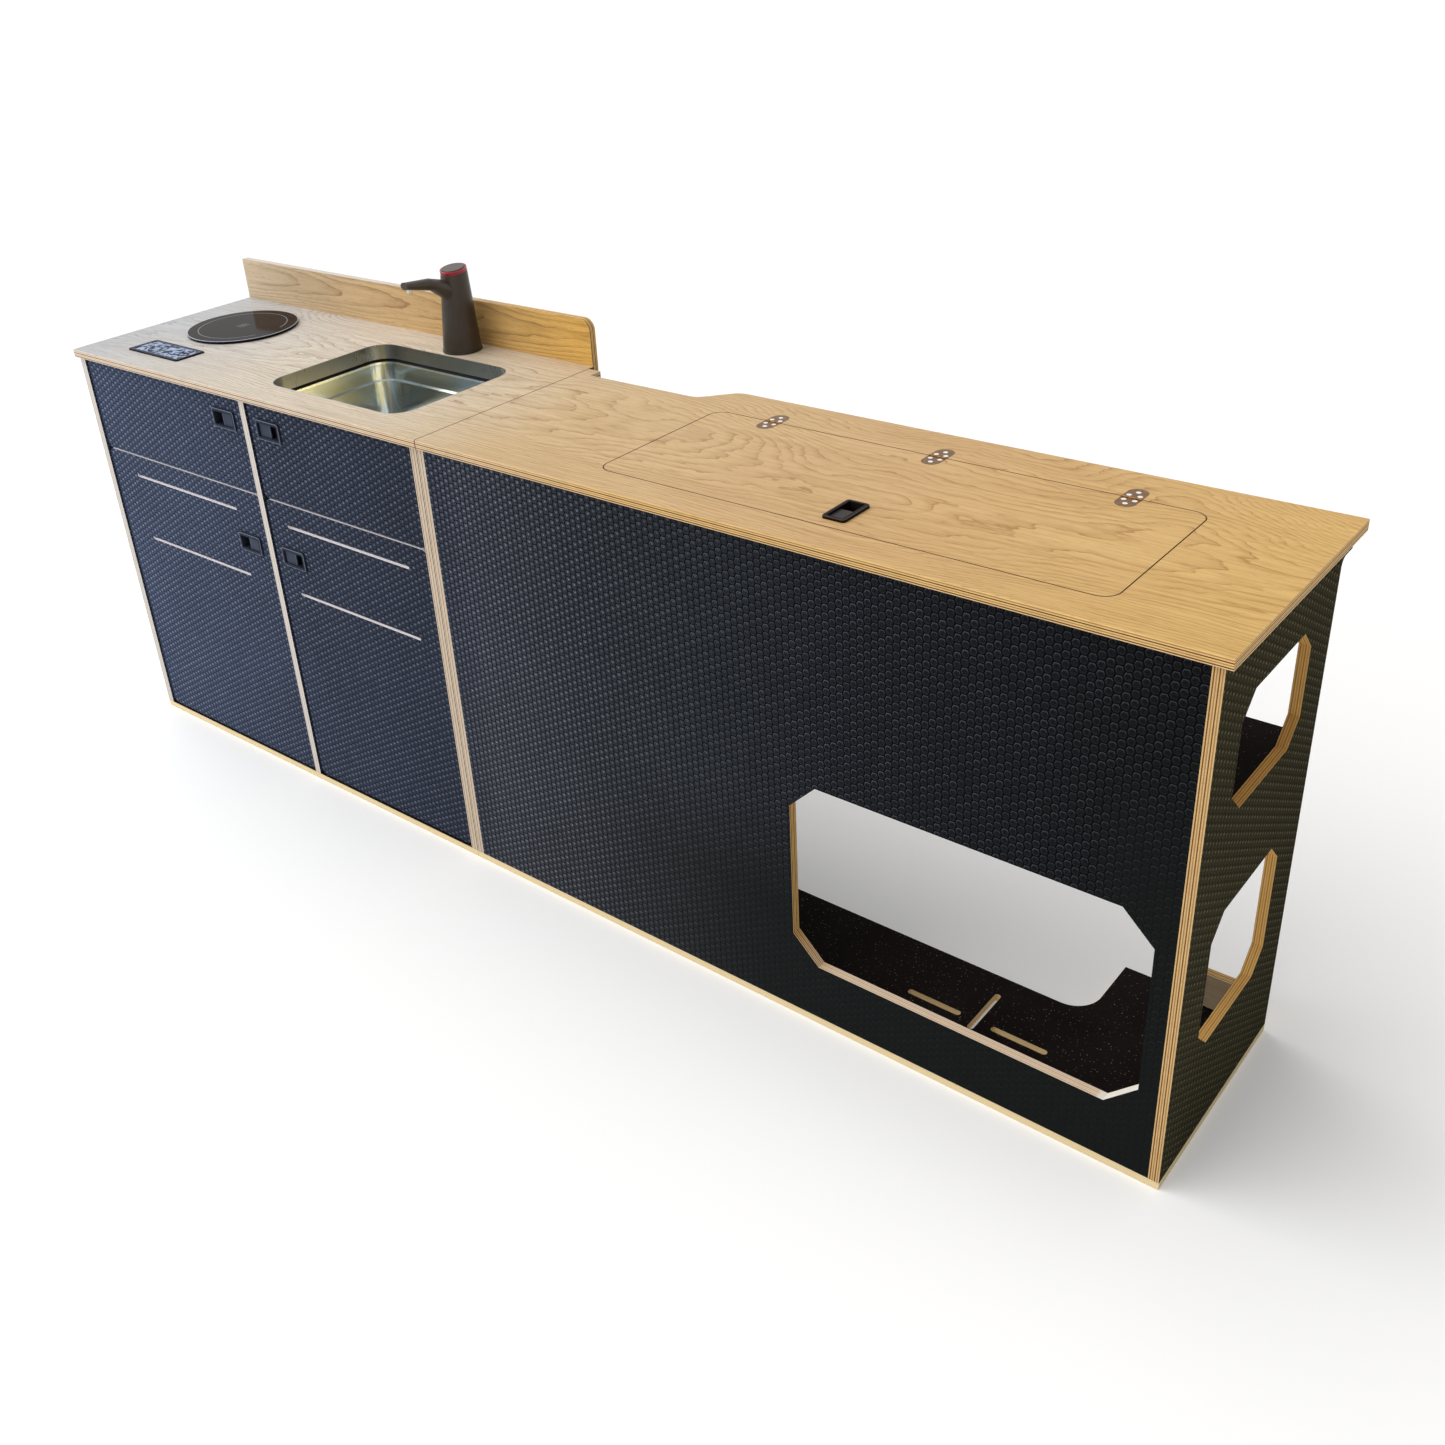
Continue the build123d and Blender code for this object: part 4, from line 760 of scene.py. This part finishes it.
nozzle_metal = brushed("nozzle_finish", (0.5, 0.5, 0.5), (0.66, 0.66, 0.66), (0.15, 0.3), 500)

# Lines along mouldings: start and end depth from the outline, and tone; on latch bodies and paddles the line is
# a painted highlight
LATCH_HIGHLIGHT_LINE = (0.3 * MM, 1.3 * MM, (0.17, 0.20, 0.28))
LID_LATCH_HIGHLIGHT_LINE = (0.3 * MM, 1.0 * MM, (0.10, 0.075, 0.055))
PADDLE_HIGHLIGHT_LINE = (0.2 * MM, 0.8 * MM, (0.16, 0.19, 0.26))
SOCKET_LINE = (5.4 * MM, 6.5 * MM, (0.20, 0.21, 0.30))
BODY_CORNER = 5.0 * MM
PADDLE_CORNER = 1.0 * MM
socket_frame = bordered(
    "socket_frame_moulding", "socket_frame", BODY_CORNER, (0, 1), SOCKET_LINE,
    (0.008, 0.009, 0.014), (0.014, 0.015, 0.022), (0.3, 0.42),
)
lid_latch_frame = bordered(
    "lid_latch_moulding", "lid_latch_body", BODY_CORNER, (0, 1), LID_LATCH_HIGHLIGHT_LINE,
    (0.011, 0.008, 0.007), (0.020, 0.014, 0.012), (0.3, 0.42),
)

finishes = {
    "hob_glass": hob_glass(),
    "hob_housing": black_plastic,
    "socket_frame": socket_frame,
    "mains_socket": socket_plate("mains_socket", 18 * MM, 0.0),
    "usb_socket": socket_plate("usb_socket", 9 * MM, 13 * MM),
    "sink_bowl": sink_steel(),
    "sink_collar": collar_steel,
    "sink_waste": screw_steel,
    "sink_gasket": rubber,
    "tap_base": tap_dark,
    "tap_body": tap_dark,
    "tap_ring": tap_red,
    "tap_button": tap_dark,
    "tap_nozzle": nozzle_metal,
    "latch_keepers": bolt_steel,
    "door_hinge_arms": hinge_steel,
    "lid_hinge_leaves": brass,
    "worktop_hinge_leaves": brass,
    "lid_hinge_screws": screw_steel,
    "worktop_hinge_screws": screw_steel,
    "lid_latch_body": lid_latch_frame,
    "lid_latch_paddle": dark_paddle,
    "lid_latch_bolt": bolt_steel,
}
for name in DOORS:
    finishes[name + "_hinge_cups"] = hinge_steel
    finishes[name + "_latch_body"] = bordered(
        name + "_latch_moulding", name + "_latch_body", BODY_CORNER, (0, 2), LATCH_HIGHLIGHT_LINE,
        (0.018, 0.022, 0.033), (0.034, 0.040, 0.058), (0.3, 0.42),
    )
    finishes[name + "_latch_paddle"] = bordered(
        name + "_paddle_moulding", name + "_latch_paddle", PADDLE_CORNER, (0, 2), PADDLE_HIGHLIGHT_LINE,
        (0.045, 0.055, 0.080), (0.065, 0.080, 0.115), (0.34, 0.46),
    )
    finishes[name + "_latch_bolt"] = bolt_steel
for name, material in finishes.items():
    paint(nodes[name], material)


def add_object(name, data):
    """An object of the scene alone."""
    thing = bpy.data.objects.new(name, data)
    bpy.context.scene.collection.objects.link(thing)
    return thing


def build_floor():
    """Floor that reads white where it is seen, and keeps the object's shadow."""
    mesh = bpy.data.meshes.new("studio_floor")
    corners = [(x * FLOOR_REACH, y * FLOOR_REACH, 0) for x, y in ((-1, -1), (1, -1), (1, 1), (-1, 1))]
    mesh.from_pydata(corners, [], [(0, 1, 2, 3)])
    floor = add_object("studio_floor", mesh)
    g = Graph("floor_finish")
    rays = g.node("LightPath").outputs
    reflected = g.math("MAXIMUM", rays["Is Glossy Ray"], rays["Is Transmission Ray"])
    seen = g.math("MAXIMUM", rays["Is Camera Ray"], reflected)
    g.set(
        Base_Color=g.mix(g.noise(0.9, 2.0, 0.5), *FLOOR_TONES),
        Roughness=0.9,
        Specular_IOR_Level=0.0,
        Emission_Color=as_colour(WHITE),
        Emission_Strength=g.times(seen, FLOOR_GLOW),
    )
    paint(floor, g.material)


def build_world():
    """White where it is seen directly or in reflections, and a softer level as fill light."""
    world = bpy.data.worlds.new("studio_world")
    bpy.context.scene.world = world
    world.use_nodes = True
    tree = world.node_tree
    tree.nodes.clear()
    rays = tree.nodes.new("ShaderNodeLightPath").outputs
    seen = rays["Is Camera Ray"]
    for ray in ("Is Transmission Ray", "Is Glossy Ray"):
        either = tree.nodes.new("ShaderNodeMath")
        either.operation = "MAXIMUM"
        tree.links.new(seen, either.inputs[0])
        tree.links.new(rays[ray], either.inputs[1])
        seen = either.outputs[0]
    strength = tree.nodes.new("ShaderNodeMapRange")
    strength.inputs["To Min"].default_value = FILL_STRENGTH
    strength.inputs["To Max"].default_value = SEEN_STRENGTH
    tree.links.new(seen, strength.inputs["Value"])
    background = tree.nodes.new("ShaderNodeBackground")
    background.inputs["Color"].default_value = as_colour(WHITE)
    tree.links.new(strength.outputs[0], background.inputs["Strength"])
    output = tree.nodes.new("ShaderNodeOutputWorld")
    tree.links.new(background.outputs[0], output.inputs["Surface"])


def facing(direction):
    """The rotation of a lamp that shines along a direction."""
    return Vector(direction).to_track_quat("-Z", "Y").to_euler()


def add_sun():
    """A soft sun from the front left."""
    lamp = bpy.data.lights.new("key_sun", "SUN")
    lamp.energy = SUN_STRENGTH
    lamp.angle = math.radians(SUN_SPREAD)
    lamp.color = SUN_COLOUR
    add_object("key_sun", lamp).rotation_euler = facing(SUN_DIRECTION)


def add_panel():
    """A cool panel lamp at the kitchen's side."""
    lamp = bpy.data.lights.new("window_panel", "AREA")
    lamp.shape = "RECTANGLE"
    lamp.size, lamp.size_y = PANEL_SIZE
    lamp.energy = PANEL_POWER
    lamp.color = PANEL_COLOUR
    holder = add_object("window_panel", lamp)
    holder.location = PANEL_PLACE
    holder.rotation_euler = facing(Vector(PANEL_TARGET) - Vector(PANEL_PLACE))


def add_camera():
    """The photograph's camera."""
    data = bpy.data.cameras.new("camera")
    data.sensor_fit = "HORIZONTAL"
    data.sensor_width = SENSOR_WIDTH
    data.lens = CAMERA_LENS
    data.shift_x, data.shift_y = CAMERA_SHIFT
    data.clip_end = CAMERA_REACH
    azimuth = math.radians(CAMERA_AZIMUTH)
    elevation = math.radians(CAMERA_ELEVATION)
    roll = math.radians(CAMERA_ROLL)
    back = Vector((
        math.sin(azimuth) * math.cos(elevation),
        -math.cos(azimuth) * math.cos(elevation),
        math.sin(elevation),
    ))
    level_right = Vector((math.cos(azimuth), math.sin(azimuth), 0))
    level_up = back.cross(level_right)
    right = math.cos(roll) * level_right + math.sin(roll) * level_up
    up = -math.sin(roll) * level_right + math.cos(roll) * level_up
    camera = add_object("camera", data)
    turned = Matrix((right, up, back)).transposed().to_4x4()
    camera.matrix_world = Matrix.Translation(CAMERA_PLACE) @ turned
    bpy.context.scene.camera = camera


build_floor()
build_world()
add_sun()
add_panel()
add_camera()

bpy.context.scene.view_settings.view_transform = "Standard"
